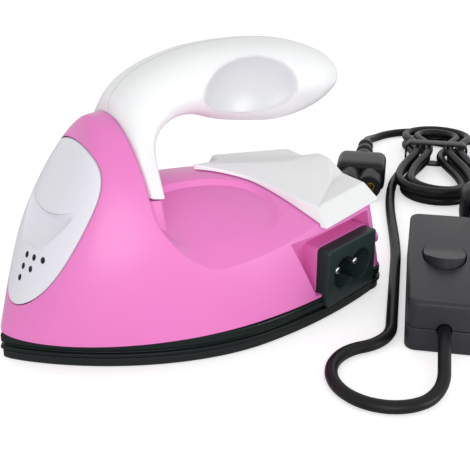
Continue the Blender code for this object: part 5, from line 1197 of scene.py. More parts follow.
def socket_lobe(side, radius, low, high, place, count, soft=0.0):
    """One of the two round lobes of a figure-8 inlet or connector."""
    middle = (side * (SOCKET_WIDTH / 2 - SOCKET_RADIUS), 0.0)
    return prism("lobe", oval(2 * radius, 2 * radius, count, middle), low, high, place, 0.0, soft)


def make_inlet():
    """Black two-pin inlet with a figure-8 socket, and its pins."""
    inlet = shifted(inlet_matrix(), y=INLET_MIDDLE)
    flange = rounded_box_outline(INLET_WIDTH, INLET_TOP - INLET_BOTTOM, INLET_CORNER)
    housing = prism("inlet_housing_fine", flange, -INLET_FLANGE, 0.0, inlet, 0.0, INLET_CORNER / 3)
    body = rounded_box_outline(INLET_BODY_WIDTH, INLET_BODY_HEIGHT, INLET_CORNER)
    join(housing, prism("body", body, -INLET_BODY_DEPTH, -INLET_FLANGE / 2, inlet))
    for side in (-1, 1):
        cut(housing, socket_lobe(side, SOCKET_RADIUS, -SOCKET_DEPTH, OVERRUN, inlet, SOCKET_SIDES))
    dress(housing, "inlet", ("inlet_housing",))
    radius = PIN_DIAMETER / 2
    for name, side in (("inlet_pin_front", -1), ("inlet_pin_rear", 1)):
        pin = rod(name + "_fine", radius, -INLET_BODY_DEPTH - PIN_TAIL, -PIN_SETBACK,
                  shifted(inlet, x=side * PIN_PITCH / 2), soft=radius / 2)
        dress(pin, "steel", (name,))


# Cord set
def set_matrix():
    """Frame of the cord set: local X runs through the switch and along the hank, away from the iron."""
    return Matrix.Translation((SET_X, SET_Y, 0.0)) @ Matrix.Rotation(SET_TURN, 4, "Z")


def tail_matrix(place):
    """Frame of a piece at a cord's end: local Z runs from its tail along the cord set to the switch."""
    return (set_matrix() @ Matrix.Translation(place) @ Matrix.Rotation(-QUARTER_TURN, 4, "Y")
            @ Matrix.Rotation(QUARTER_TURN, 4, "Z"))


def smooth(share):
    share = min(max(share, 0.0), 1.0)
    return share * share * (3 - 2 * share)


def trace(start, heading, legs):
    """Level path made of straight legs and turns; a positive radius turns left."""
    x, y = start
    points = [(x, y)]
    for length, radius in legs:
        count = max(1, round(length / CORD_STEP * (1 if radius == 0 else 2)))
        bend = length / count / radius if radius else 0.0
        step = 2 * abs(radius) * math.sin(abs(bend) / 2) if radius else length / count
        for number in range(count):
            x += step * math.cos(heading + bend / 2)
            y += step * math.sin(heading + bend / 2)
            heading += bend
            points.append((x, y))
    return points


def waist(u):
    """How far the hank is drawn in and lifted at a place along it, 1 at the tie."""
    return math.exp(-((u - TIE_PLACE) / HANK_WAIST) ** 2)


def hank_point(loops):
    """Point of the hank after a number of loops: two flat spirals, pulled in at the tie."""
    first, second = LAYER_LOOPS_SHARES[:2]
    if loops < first:
        radius = HANK_RADIUS - HANK_PITCH * loops
    else:
        radius = HANK_RADIUS - HANK_PITCH * first + HANK_PITCH * max(loops - second, 0.0)
    height = CORD_REST + HANK_LAYER * smooth((loops - first) / (second - first))
    part = (loops % 1.0) * 4
    if part < 1:
        u, v = HANK_NEAR + HANK_RUN * part, radius
    elif part < 2:
        turn = (part - 1) * math.pi
        u, v = HANK_FAR + radius * math.sin(turn), radius * math.cos(turn)
    elif part < 3:
        u, v = HANK_FAR - HANK_RUN * (part - 2), -radius
    else:
        turn = (part - 3) * math.pi
        u, v = HANK_NEAR - radius * math.sin(turn), -radius * math.cos(turn)
    side = math.copysign(max(abs(v) - HANK_PULL * waist(u), 0.0), v)
    return Vector((u, side, height + TIE_LIFT * waist(u)))


def falling_path(plan):
    """A level plan with the cord's height, which falls from the switch to the floor, and the way gone."""
    rows = []
    gone = 0.0
    before = plan[0]
    for point in plan:
        gone += math.dist(before, point)
        before = point
        fall = smooth((gone - CORD_ENTRY) / SHORT_CORD_FALL)
        rows.append((*point, SWITCH_MOUTH + (CORD_REST - SWITCH_MOUTH) * fall, gone))
    return rows


def lane_path():
    """From inside the switch round a bend and along the lane to the start of the hank."""
    extra = math.acos(LANE_SIDE / (2 * BULB_RADIUS))
    plan = trace((-SWITCH_INNER, 0.0), math.pi, [
        (BULB_PLACE - SWITCH_INNER, 0.0),
        (BULB_RADIUS * (math.pi + extra), -BULB_RADIUS),
        (BULB_RADIUS * extra, BULB_RADIUS),
    ])
    points = [Vector(row[:3]) for row in falling_path(plan)]
    lane_start = points[-1].x
    lane_end = HANK_NEAR - CORD_DIAMETER - GAP
    count = round((lane_end - lane_start) / CORD_STEP)
    for number in range(1, count + 1):
        u = lane_start + (lane_end - lane_start) * number / count
        shift = smooth((u - LANE_SHIFT_START) / LANE_SHIFT_LENGTH)
        points.append(Vector((u, LANE_SIDE + (HANK_RADIUS - LANE_SIDE) * shift, CORD_REST)))
    return points


def hank_path():
    """The wound length, with a straight end of one cord diameter at each side."""
    last = LAYER_LOOPS_SHARES[-1]
    steps = round(last * HANK_STEPS)
    points = [hank_point(0.0) - Vector((CORD_DIAMETER, 0.0, 0.0))]
    points += [hank_point(last * number / steps) for number in range(steps + 1)]
    leave = last + (HANK_FAR - LEAD_START) / HANK_RUN / 4
    points += [hank_point(last + (leave - last) * number / LEAVE_STEPS)
               for number in range(1, LEAVE_STEPS + 1)]
    return points + [points[-1] + (points[-1] - points[-2]).normalized() * CORD_DIAMETER]


def lead_path():
    """From the hank on past its near end, up to the plug beside it."""
    wound = hank_path()
    heading = (wound[-1] - wound[-2]).normalized()
    points = [wound[-1] + heading * GAP]
    start = points[0] + heading * CORD_DIAMETER
    offset = HANK_PULL * waist(start.x) - HANK_RADIUS - start.y
    for number in range(LEAD_STEPS + 1):
        share = number / LEAD_STEPS
        u = start.x - LEAD_LENGTH * share
        side = HANK_RADIUS - HANK_PULL * waist(u) + offset * (1 - smooth(share))
        points.append(Vector((u, -side, start.z + (PLUG_MIDDLE - start.z) * smooth(share))))
    points.append(points[-1] - Vector((CORD_DIAMETER, 0.0, 0.0)))
    return points


def short_cord_path():
    """From the far end of the switch, round the outside of the hank, to the connector."""
    turn = math.acos(1 - SHORT_CORD_SIDE / (2 * BULB_RADIUS))
    lead = CORD_ENTRY + GAP
    passed = SWITCH_INNER + lead + 2 * BULB_RADIUS * math.sin(turn)
    far = (SHORT_CORD_SIDE + CONNECTOR_SIDE) / 2
    rows = falling_path(trace((SWITCH_INNER, 0.0), 0.0, [
        (lead, 0.0),
        (BULB_RADIUS * turn, -BULB_RADIUS),
        (BULB_RADIUS * turn, BULB_RADIUS),
        (HANK_FAR - passed, 0.0),
        (far * math.pi, far),
        (HANK_FAR - CONNECTOR_END - GAP, 0.0),
    ]))
    total = rows[-1][-1]
    points = []
    for x, y, height, gone in rows:
        rise = smooth((gone - total + SHORT_CORD_RISE) / SHORT_CORD_RISE)
        points.append(Vector((x, y, height + (CONNECTOR_MIDDLE - height) * rise)))
    return points


def make_cords(plug_pieces, connector_pieces, switch_pieces):
    """The long cord with its hank, and the short cord to the connector."""
    world = set_matrix()
    paths = (
        ("cord_long_fine", lane_path() + hank_path() + lead_path(), "plug", "coiled",
         ("cord_lane", "cord_hank", "cord_lead"), plug_pieces + switch_pieces),
        ("cord_short_fine", short_cord_path(), "connector", "loose", ("cord_short",), connector_pieces),
    )
    for name, points, far_end, lay, nodes, pieces in paths:
        route = [world @ point for point in points]
        cord = cord_curve(name, route)
        dress(cord, "cord", nodes)


def make_tie():
    """Flat band round the waist of the hank."""
    widest = hank_point(LAYER_LOOPS_SHARES[-1] + (HANK_FAR - TIE_PLACE) / HANK_RUN / 4)
    corner = CORD_DIAMETER / 2
    inner_half = abs(widest.y) + corner + TIE_CLEARANCE + GAP
    low = CORD_REST + TIE_LIFT - corner - TIE_CLEARANCE
    high = CORD_REST + TIE_LIFT + HANK_LAYER + corner + TIE_CLEARANCE
    place = (shifted(set_matrix(), x=TIE_PLACE, z=(low + high) / 2)
             @ Matrix.Rotation(QUARTER_TURN, 4, "Y"))
    outer = rounded_box_outline(high - low + 2 * TIE_THICKNESS, 2 * (inner_half + TIE_THICKNESS),
                                corner + TIE_THICKNESS)
    inner = rounded_box_outline(high - low, 2 * inner_half, corner)
    soft = TIE_THICKNESS / 3
    band = prism("cord_tie_fine", outer, -TIE_WIDTH / 2, TIE_WIDTH / 2, place, soft, soft)
    cut(band, prism("inside", inner, -TIE_WIDTH, TIE_WIDTH, place))
    return dress(band, "cord", ("cord_tie",))


def ribbed_relief(name, length, place):
    """Strain relief with rounded ribs, from its thin tail at the local origin to its root."""
    profile = [(0.0, 0.0)]
    for number, share in enumerate(RELIEF_RIB_SHARES):
        grow = 1 - RELIEF_TAPER_SHARE * (1 - share)
        on_rib = number % 4 in (0, 1)
        profile.append(((RELIEF_DIAMETER if on_rib else RELIEF_NECK) / 2 * grow, length * share))
    profile += [(RELIEF_NECK / 2, length + GAP), (0.0, length + GAP)]
    return turned(name, profile, WIDE_SIDES, place, RELIEF_SOFTNESS)


def tapered_block(name, shares, length, width, thickness, corner, place):
    """Rounded block drawn out along local Z through a table of sections, its far end rounded off."""
    shrink = corner / 2
    rings = []
    for along, wide, thick in refined(shares, BLOCK_FILL)[:-1]:
        if length * along < length - shrink:
            outline = rounded_box_outline(width * wide, thickness * thick, corner)
            rings.append(at_height(outline, length * along))
    last_wide, last_thick = shares[-1][1] * width, shares[-1][2] * thickness
    for step in range(1, BLOCK_END_STEPS + 1):
        turn = step / BLOCK_END_STEPS * math.pi / 2
        inset = shrink * (1 - math.cos(turn))
        outline = rounded_box_outline(last_wide - 2 * inset, last_thick - 2 * inset, corner - inset)
        rings.append(at_height(outline, length + shrink * math.sin(turn) - shrink))
    return loft(name, rings, place)


def make_connector():
    """Two-hole connector that fits the inlet, with brass sleeves, lying beside the hank."""
    tail = tail_matrix((CONNECTOR_END, CONNECTOR_SIDE, CONNECTOR_MIDDLE))
    body = ribbed_relief("connector_body_fine", CONNECTOR_RELIEF, tail)
    grip = shifted(tail, z=CONNECTOR_RELIEF)
    join(body, tapered_block("grip", GRIP_SHARES, CONNECTOR_GRIP, CONNECTOR_WIDTH, CONNECTOR_THICKNESS,
                             CONNECTOR_CORNER, grip))
    mouth = CONNECTOR_GRIP + CONNECTOR_REACH
    for side in (-1, 1):
        join(body, socket_lobe(side, SOCKET_RADIUS - GAP, CONNECTOR_GRIP - OVERRUN, mouth, grip,
                               CONNECTOR_SIDES, GAP))
    pieces = []
    for name, side in (("connector_sleeve_left", -1), ("connector_sleeve_right", 1)):
        place = shifted(grip, x=side * PIN_PITCH / 2, z=mouth - CONNECTOR_BORE_DEPTH)
        radius = CONNECTOR_BORE / 2
        cut(body, turned("bore", [(0.0, 0.0), (radius, 0.0), (radius, CONNECTOR_BORE_DEPTH + OVERRUN)],
                         ROUND_SIDES, place))
        outer, inner = SLEEVE_DIAMETER / 2, SLEEVE_BORE / 2
        profile = [(0.0, GAP), (outer, GAP), (outer, SLEEVE_LENGTH),
                   (inner, SLEEVE_LENGTH), (inner, GAP * 3), (0.0, GAP * 3)]
        sleeve = turned(name + "_fine", profile, ROUND_SIDES, place)
        pieces.append(dress(sleeve, "brass", (name,)))
    return [dress(body, "cord", ("connector_body",))] + pieces


def make_plug():
    """Two-blade mains plug lying beside the hank, its blades towards the switch."""
    tail = tail_matrix(lead_path()[-1] - Vector((GAP, 0.0, 0.0)))
    body = ribbed_relief("plug_body_fine", PLUG_RELIEF, tail)
    root = shifted(tail, z=PLUG_RELIEF)
    join(body, tapered_block("block", PLUG_SHARES, PLUG_LENGTH, PLUG_WIDTH, PLUG_THICKNESS,
                             PLUG_CORNER, root))
    half = BLADE_THICKNESS / 2
    tall = BLADE_HEIGHT / 2
    pieces = []
    for name, side in (("plug_blade_left", -1), ("plug_blade_right", 1)):
        place = shifted(root, x=side * BLADE_PITCH / 2, z=PLUG_LENGTH)
        cut(body, box("slot", (-half - GAP, -tall - GAP, -BLADE_BITE - GAP),
                      (half + GAP, tall + GAP, OVERRUN), place))
        blade = box(name + "_fine", (-half, -tall, -BLADE_BITE), (half, tall, BLADE_LENGTH), place,
                    half / 3)
        cut(blade, rod("hole", BLADE_HOLE / 2, -OVERRUN, OVERRUN,
                       shifted(place, z=BLADE_HOLE_PLACE) @ Matrix.Rotation(QUARTER_TURN, 4, "Y")))
        pieces.append(dress(blade, "steel", (name,)))
    return [dress(body, "cord", ("plug_body",))] + pieces


def switch_block(name, low, high, inset=0.0, foot=0.0, crown=0.0, segments=EDGE_SEGMENTS):
    """Rounded block of the switch between two heights, its lower and upper rims rounded."""
    outline = rounded_box_outline(SWITCH_LENGTH - 2 * inset, SWITCH_WIDTH - 2 * inset,
                                  SWITCH_CORNER - inset)
    return prism(name, outline, low, high, set_matrix(), foot, crown, segments)


def make_switch():
    """Two shells of the in-line switch, closed on the cord, with an oval hole for the rocker."""
    floor = FLOOR_GAP + SWITCH_WALL
    ceiling = SWITCH_HEIGHT - SWITCH_WALL
    lower = switch_block("switch_base_fine", FLOOR_GAP, SWITCH_PARTING, 0.0, SWITCH_WALL / 2, GAP)
    cut(lower, switch_block("inside", floor, SWITCH_PARTING + OVERRUN, SWITCH_WALL))
    upper = switch_block("switch_cover_fine", SWITCH_PARTING + GAP, SWITCH_HEIGHT, crown=SWITCH_ROUND,
                         segments=CROWN_SEGMENTS)
    cut(upper, switch_block("inside", SWITCH_PARTING - OVERRUN, ceiling, SWITCH_WALL))
    hole = oval(ROCKER_LENGTH + 2 * ROCKER_CLEARANCE, ROCKER_WIDTH + 2 * GAP, OVAL_SIDES)
    cut(upper, prism("rocker_hole", hole, ceiling - SWITCH_WALL - ROCKER_UNDER, SWITCH_HEIGHT + OVERRUN,
                     set_matrix()))
    for side in (-1, 1):
        mouth = (shifted(set_matrix(), x=side * (SWITCH_LENGTH / 2 + OVERRUN), z=SWITCH_MOUTH)
                 @ Matrix.Rotation(-side * QUARTER_TURN, 4, "Y"))
        for shell in (lower, upper):
            cut(shell, rod("entry", CORD_DIAMETER / 2 + GAP, 0.0, OVERRUN * 2 + SWITCH_WALL, mouth,
                           WIDE_SIDES))
    return [dress(lower, "switch", ("switch_base",)), dress(upper, "switch", ("switch_cover",))]


def make_switch_screws():
    """Flat-head screws under the switch, with rounded heads and drive sockets."""
    head = SCREW_HEAD_DIAMETER / 2
    drop = SWITCH_WALL / 2 - GAP
    socket = SCREW_SOCKET_DIAMETER / 2
    profile = [(0.0, SWITCH_SCREW_LENGTH), (SCREW_RADIUS * SCREW_TIP_SHARE, SWITCH_SCREW_LENGTH),
               (SCREW_RADIUS, SWITCH_SCREW_LENGTH - SCREW_RADIUS), (SCREW_RADIUS, 0.0), (head, 0.0),
               (head, -drop), (socket, -drop), (socket, -drop / 2), (0.0, -drop / 2)]
    pieces = []
    for name, side in (("switch_screw_near", -1), ("switch_screw_far", 1)):
        place = set_matrix() @ Vector((side * SWITCH_SCREW_PLACE, 0.0, FLOOR_GAP + drop))
        screw = turned(name + "_fine", profile, ROUND_SIDES, axis_matrix(place, (0, 0, 1)))
        pieces.append(dress(screw, "steel", (name,)))
    return pieces


def rocker_valley():
    """Side view of the room above the rocker: a shallow V whose fold is blended over a short way."""
    reach = ROCKER_LENGTH
    slope = math.tan(ROCKER_TILT)
    rise = reach * slope
    blend = ROCKER_LENGTH / 6
    outline = [(-reach, ROCKER_HEIGHT + rise)]
    for step in range(-VALLEY_STEPS, VALLEY_STEPS + 1):
        share = step / VALLEY_STEPS
        outline.append((blend * share, ROCKER_HEIGHT + slope * blend * (1 + share ** 2) / 2))
    return outline + [(reach, ROCKER_HEIGHT + rise), (reach, ROCKER_HEIGHT + 2 * rise),
                      (-reach, ROCKER_HEIGHT + 2 * rise)]


def make_rocker():
    """Oval rocker with a shallow V top, at rest tipped one way on its axle."""
    place = (shifted(set_matrix(), z=SWITCH_HEIGHT - ROCKER_PIVOT_DROP)
             @ Matrix.Rotation(ROCKER_TILT, 4, "Y"))
    top = ROCKER_HEIGHT + ROCKER_LENGTH / 2 * math.tan(ROCKER_TILT)
    rocker = prism("switch_rocker_fine", oval(ROCKER_LENGTH, ROCKER_WIDTH, OVAL_SIDES), -ROCKER_UNDER,
                   top + GAP, place)
    upright = place @ Matrix.Rotation(QUARTER_TURN, 4, "X")
    cut(rocker, prism("valley", rocker_valley(), -ROCKER_WIDTH, ROCKER_WIDTH, upright))
    axle = ROCKER_WIDTH / 2 + ROCKER_AXLE_REACH
    join(rocker, rod("axle", ROCKER_AXLE / 2, -axle, axle, place @ Matrix.Rotation(-QUARTER_TURN, 4, "X")))
    return dress(rocker, "switch", ("switch_rocker",), ROCKER_BODY)


# Materials
def add_node(tree, kind, place, **values):
    node = tree.nodes.new(kind)
    node.location = place
    for name, value in values.items():
        setattr(node, name, value)
    return node


def set_inputs(node, values):
    """Set the values of a node by the names of its inputs."""
    for socket, value in values.items():
        node.inputs[socket].default_value = value


def link_nodes(tree, links):
    """Link nodes; each row names a node, its output, the node it feeds and the input."""
    for source, output, target, socket in links:
        tree.links.new(source.outputs[output], target.inputs[socket])


def mould_group():
    """Fine moulded skin: broad tone and gloss changes, and a fine grain for the bump."""
    name = "Moulded Skin"
    if name in bpy.data.node_groups:
        return bpy.data.node_groups[name]
    tree = bpy.data.node_groups.new(name, "ShaderNodeTree")
    for label, kind, default in MOULD_INPUTS:
        socket = tree.interface.new_socket(name=label, in_out="INPUT", socket_type=kind)
        socket.default_value = default
    for label, kind in MOULD_OUTPUTS:
        tree.interface.new_socket(name=label, in_out="OUTPUT", socket_type=kind)
    entry = add_node(tree, "NodeGroupInput", (-800, 0))
    leave = add_node(tree, "NodeGroupOutput", (600, 0))
    where = add_node(tree, "ShaderNodeTexCoord", (-800, -300))
    clouds = add_node(tree, "ShaderNodeTexNoise", (-500, 200))
    grain = add_node(tree, "ShaderNodeTexNoise", (-500, -200))
    tone = add_node(tree, "ShaderNodeMix", (200, 200), data_type="RGBA")
    gloss = add_node(tree, "ShaderNodeMapRange", (200, -50))
    spread = add_node(tree, "ShaderNodeMapRange", (-100, 200))
    set_inputs(clouds, {"Detail": CLOUD_DETAIL})
    set_inputs(grain, {"Detail": GRAIN_DETAIL})
    for remap in (gloss, spread):
        set_inputs(remap, {"From Min": CLOUD_LOW, "From Max": CLOUD_HIGH})
    link_nodes(tree, (
        (where, "Object", clouds, "Vector"),
        (where, "Object", grain, "Vector"),
        (entry, "Cloud Scale", clouds, "Scale"),
        (entry, "Grain Scale", grain, "Scale"),
        (clouds, "Fac", spread, "Value"),
        (spread, "Result", tone, "Factor"),
        (entry, "Colour", tone, "A"),
        (entry, "Shade", tone, "B"),
        (clouds, "Fac", gloss, "Value"),
        (entry, "Low Roughness", gloss, "To Min"),
        (entry, "High Roughness", gloss, "To Max"),
        (tone, "Result", leave, "Colour"),
        (gloss, "Result", leave, "Roughness"),
        (grain, "Fac", leave, "Height"),
    ))
    return tree


def moulded(finish, colour, shade, low, high, bump):
    """Moulded plastic, coated or plain metal: one shader fed by the moulded skin group."""
    material = bpy.data.materials.new("craft_iron_" + finish)
    material.use_nodes = True
    tree = material.node_tree
    shader = tree.nodes["Principled BSDF"]
    group = add_node(tree, "ShaderNodeGroup", (-500, 100), node_tree=mould_group())
    relief = add_node(tree, "ShaderNodeBump", (-200, -200))
    soft_edge = add_node(tree, "ShaderNodeBevel", (-450, -300), samples=BEVEL_SAMPLES)
    set_inputs(group, {"Colour": (*colour, 1.0), "Shade": (*shade, 1.0), "Low Roughness": low,
                       "High Roughness": high, "Cloud Scale": CLOUD_SCALE, "Grain Scale": GRAIN_SCALE})
    set_inputs(relief, {"Strength": bump, "Distance": SKIN_GRAIN})
    set_inputs(soft_edge, {"Radius": EDGE_SOFTNESS})
    set_inputs(shader, {"Coat Weight": COAT_WEIGHT if finish in COATED else 0.0,
                        "Coat Roughness": COAT_ROUGHNESS,
                        "Metallic": 1.0 if finish in METALS else 0.0,
                        "Specular IOR Level": DULL_SPECULAR if finish in DULL else PLAIN_SPECULAR})
    link_nodes(tree, (
        (group, "Colour", shader, "Base Color"),
        (group, "Roughness", shader, "Roughness"),
        (group, "Height", relief, "Height"),
        (soft_edge, "Normal", relief, "Normal"),
        (relief, "Normal", shader, "Normal"),
    ))
    return material


def paint_thumb_shade(material):
    """Cooler grey painted into the bed of the handle's thumb hollow as painted shade."""
    tree = material.node_tree
    shader = tree.nodes["Principled BSDF"]
    skin = shader.inputs["Base Color"].links[0].from_node
    mask = add_node(tree, "ShaderNodeAttribute", (-500, 400), attribute_name="thumb_hollow")
    blend = add_node(tree, "ShaderNodeMix", (-200, 300), data_type="RGBA")
    set_inputs(blend, {"B": (*THUMB_PAINTED_SHADE, 1.0)})
    link_nodes(tree, (
        (mask, "Fac", blend, "Factor"),
        (skin, "Colour", blend, "A"),
        (blend, "Result", shader, "Base Color"),
    ))


def material_for(finish):
    """Material of a finish, made when it is first asked for."""
    if finish not in MATERIALS:
        colour, shade, low, high, bump = FINISHES[finish]
        if isinstance(colour, str):
            colour = tuple(getattr(bpy.context.scene.craft_iron_colours, colour))
            shade = tuple(part * shade for part in colour)
        MATERIALS[finish] = moulded(finish, colour, shade, low, high, bump)
        if finish == "handle":
            paint_thumb_shade(MATERIALS[finish])
    return MATERIALS[finish]


def finish_inner_parts():
    """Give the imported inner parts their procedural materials."""
    for finish, names in INNER_FINISHES.items():
        for name in names:
            item = bpy.data.objects[name]
            item.data.materials.clear()
            item.data.materials.append(material_for(finish))


# Stage
def make_floor(colour):
    """Plain floor that shows brighter to the camera than it lights the pieces."""
    bm = bmesh.new()
    bmesh.ops.create_grid(bm, x_segments=1, y_segments=1, size=FLOOR_HALF)
    floor = place_mesh("studio_floor", bm, Matrix.Translation((0.0, 0.0, -FLOOR_GAP)))
    material = bpy.data.materials.new("studio_floor")
    material.use_nodes = True
    tree = material.node_tree
    shader = tree.nodes["Principled BSDF"]
    path = add_node(tree, "ShaderNodeLightPath", (-600, 200))
    glow = add_node(tree, "ShaderNodeMath", (-300, 200), operation="MULTIPLY")
    glow.inputs[1].default_value = FLOOR_GLOW
    set_inputs(shader, {"Base Color": (*colour, 1.0), "Roughness": FLOOR_ROUGHNESS,
                        "Specular IOR Level": FLOOR_SPECULAR, "Emission Color": WHITE_LIGHT})
    link_nodes(tree, (
        (path, "Is Camera Ray", glow, 0),
        (glow, "Value", shader, "Emission Strength"),
    ))
    floor.data.materials.append(material)


def make_world(strength):
    """Even room light that shows white to the camera, in mirrors and through clear pieces."""
    world = bpy.data.worlds.new("studio_world")
    bpy.context.scene.world = world
    world.use_nodes = True
    tree = world.node_tree
    back = tree.nodes["Background"]
    path = add_node(tree, "ShaderNodeLightPath", (-800, 0))
    mirrored = add_node(tree, "ShaderNodeMath", (-600, -160), operation="MAXIMUM")
    seen = add_node(tree, "ShaderNodeMath", (-500, 0), operation="MAXIMUM")
    level = add_node(tree, "ShaderNodeMapRange", (-300, 0))
    set_inputs(level, {"To Min": strength, "To Max": 1.0})
    set_inputs(back, {"Color": WHITE_LIGHT})
    link_nodes(tree, (
        (path, "Is Glossy Ray", mirrored, 0),
        (path, "Is Transmission Ray", mirrored, 1),
        (path, "Is Camera Ray", seen, 0),
        (mirrored, "Value", seen, 1),
        (seen, "Value", level, "Value"),
        (level, "Result", back, "Strength"),
    ))


def make_lamp(name, place, width, height, power):
    """Oval lamp of a given size that shines at the middle of the iron."""
    lamp = bpy.data.lights.new(name, "AREA")
    lamp.shape = "ELLIPSE"
    lamp.size = width
    lamp.size_y = height
    lamp.energy = power
    item = bpy.data.objects.new(name, lamp)
    bpy.context.scene.collection.objects.link(item)
    item.location = place
    item.rotation_euler = (Vector(LAMP_TARGET) - Vector(place)).to_track_quat("-Z", "Y").to_euler()


def make_camera():
    """Camera that stands where the photograph was taken."""
    data = bpy.data.cameras.new("photo_camera")
    data.lens = CAMERA_LENS
    data.sensor_width = CAMERA_SENSOR
    data.clip_start = CAMERA_NEAR
    item = bpy.data.objects.new("photo_camera", data)
    bpy.context.scene.collection.objects.link(item)
    level = math.cos(CAMERA_ELEVATION)
    away = Vector((math.sin(CAMERA_AZIMUTH) * level, -math.cos(CAMERA_AZIMUTH) * level,
                   math.sin(CAMERA_ELEVATION)))
    item.location = Vector(CAMERA_TARGET) + away * CAMERA_DISTANCE
    item.rotation_euler = (-away).to_track_quat("-Z", "Y").to_euler()
    bpy.context.scene.camera = item


# Settings, operators and panel
class CraftIronColours(bpy.types.PropertyGroup):
    """Colours of the larger pieces"""
    pink: bpy.props.FloatVectorProperty(
        name="Shell", description="Colour of the moulded body shell",
        default=(0.83, 0.205, 0.565), **COLOUR_LIMITS)
    white: bpy.props.FloatVectorProperty(
        name="Handle and cover", description="Colour of the handle and rear cover",
        default=(0.89, 0.90, 0.905), **COLOUR_LIMITS)
    panel: bpy.props.FloatVectorProperty(
        name="Front panel", description="Colour of the front panel",
        default=(0.82, 0.81, 0.88), **COLOUR_LIMITS)
    black: bpy.props.FloatVectorProperty(
        name="Cord", description="Colour of the cord, its plug and connector",
        default=(0.008, 0.008, 0.009), **COLOUR_LIMITS)


class CraftIronStage(bpy.types.PropertyGroup):
    """Colour of the floor, and strength of the room light and lamps"""
    floor: bpy.props.FloatVectorProperty(
        name="Floor", description="Colour of the studio floor",
        default=(0.92, 0.92, 0.93), **COLOUR_LIMITS)
    world: bpy.props.FloatProperty(
        name="Room light", description="Strength of the even light of the room",
        default=0.62, min=0.0, max=2.0)
    key: bpy.props.FloatProperty(
        name="Key lamp", description="Power of the large lamp at the left",
        subtype="POWER", default=3.7, min=0.0)
    fill: bpy.props.FloatProperty(
        name="Fill lamp", description="Power of the lamp at the right",
        subtype="POWER", default=1.2, min=0.0)


class CraftIronOperator:
    """Options that every operator shares"""
    bl_options = {"REGISTER", "UNDO"}


class CRAFTIRON_OT_stage(CraftIronOperator, bpy.types.Operator):
    """Set up the camera, floor, room light and lamps"""
    bl_idname = "craft_iron.stage"
    bl_label = "Stage"

    def execute(self, context):
        settings = context.scene.craft_iron_stage
        context.scene.view_settings.view_transform = "Standard"
        make_camera()
        make_floor(tuple(settings.floor))
        make_world(settings.world)
        make_lamp("key_lamp", KEY_PLACE, KEY_WIDTH, KEY_HEIGHT, settings.key)
        make_lamp("fill_lamp", FILL_PLACE, FILL_WIDTH, FILL_HEIGHT, settings.fill)
        return {"FINISHED"}


class CRAFTIRON_OT_base(CraftIronOperator, bpy.types.Operator):
    """Model the soleplate and the black skirt above it"""
    bl_idname = "craft_iron.base"
    bl_label = "Soleplate and skirt"

    def execute(self, context):
        make_soleplate()
        make_skirt()
        return {"FINISHED"}


class CRAFTIRON_OT_shell(CraftIronOperator, bpy.types.Operator):
    """Model the moulded body shell"""
    bl_idname = "craft_iron.shell"
    bl_label = "Body shell"

    def execute(self, context):
        make_shell()
        return {"FINISHED"}


class CRAFTIRON_OT_panel(CraftIronOperator, bpy.types.Operator):
    """Model the front panel with its dish and vents"""
    bl_idname = "craft_iron.panel"
    bl_label = "Front panel"

    def execute(self, context):
        make_panel()
        return {"FINISHED"}


class CRAFTIRON_OT_handle(CraftIronOperator, bpy.types.Operator):
    """Model both halves of the handle"""
    bl_idname = "craft_iron.handle"
    bl_label = "Handle"

    def execute(self, context):
        make_handle()
        return {"FINISHED"}


class CRAFTIRON_OT_cover(CraftIronOperator, bpy.types.Operator):
    """Model the faceted rear cover"""
    bl_idname = "craft_iron.cover"
    bl_label = "Rear cover"

    def execute(self, context):
        make_cover()
        return {"FINISHED"}


class CRAFTIRON_OT_inlet(CraftIronOperator, bpy.types.Operator):
    """Model the mains inlet and its pins"""
    bl_idname = "craft_iron.inlet"
    bl_label = "Mains inlet"

    def execute(self, context):
        make_inlet()
        return {"FINISHED"}


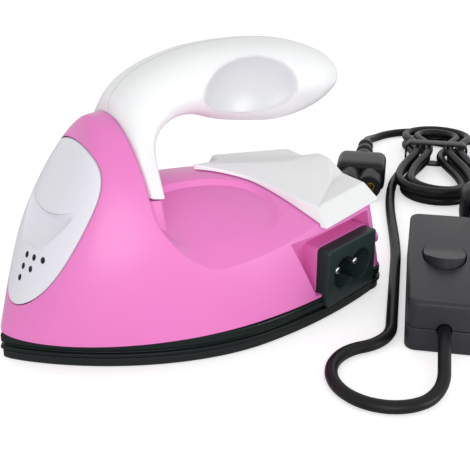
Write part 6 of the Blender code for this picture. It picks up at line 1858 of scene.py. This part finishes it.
class CRAFTIRON_OT_cord_set(CraftIronOperator, bpy.types.Operator):
    """Model the cords, in-line switch, tie, connector and plug"""
    bl_idname = "craft_iron.cord_set"
    bl_label = "Cord set"

    def execute(self, context):
        plug = make_plug()
        connector = make_connector()
        switch = make_switch() + make_switch_screws() + [make_rocker(), make_tie()]
        make_cords(plug, connector, switch)
        return {"FINISHED"}


class CRAFTIRON_OT_inner(CraftIronOperator, bpy.types.Operator):
    """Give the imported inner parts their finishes"""
    bl_idname = "craft_iron.inner"
    bl_label = "Inner parts"

    def execute(self, context):
        finish_inner_parts()
        return {"FINISHED"}


class CRAFTIRON_PT_panel(bpy.types.Panel):
    """Sidebar panel that lists the pieces and their settings"""
    bl_idname = "CRAFTIRON_PT_panel"
    bl_label = "Craft Iron"
    bl_space_type = "VIEW_3D"
    bl_region_type = "UI"
    bl_category = "Craft Iron"

    def draw(self, context):
        layout = self.layout
        for settings, names in ((context.scene.craft_iron_colours, ("pink", "white", "panel", "black")),
                                (context.scene.craft_iron_stage, ("floor", "world", "key", "fill"))):
            for name in names:
                layout.prop(settings, name)
        for operator in OPERATORS:
            layout.operator(operator.bl_idname)


OPERATORS = (CRAFTIRON_OT_stage, CRAFTIRON_OT_cord_set, CRAFTIRON_OT_base, CRAFTIRON_OT_shell,
             CRAFTIRON_OT_panel, CRAFTIRON_OT_handle, CRAFTIRON_OT_cover, CRAFTIRON_OT_inlet,
             CRAFTIRON_OT_inner)
CLASSES = (CraftIronColours, CraftIronStage) + OPERATORS + (CRAFTIRON_PT_panel,)


def register():
    for item in CLASSES:
        bpy.utils.register_class(item)
    bpy.types.Scene.craft_iron_colours = bpy.props.PointerProperty(type=CraftIronColours)
    bpy.types.Scene.craft_iron_stage = bpy.props.PointerProperty(type=CraftIronStage)


def unregister():
    del bpy.types.Scene.craft_iron_stage
    del bpy.types.Scene.craft_iron_colours
    for item in reversed(CLASSES):
        bpy.utils.unregister_class(item)


def main():
    register()
    bpy.ops.craft_iron.stage()
    bpy.ops.craft_iron.cord_set()
    bpy.ops.craft_iron.base()
    bpy.ops.craft_iron.shell()
    bpy.ops.craft_iron.panel()
    bpy.ops.craft_iron.handle()
    bpy.ops.craft_iron.cover()
    bpy.ops.craft_iron.inlet()
    bpy.ops.craft_iron.inner()


if __name__ == "__main__":
    main()
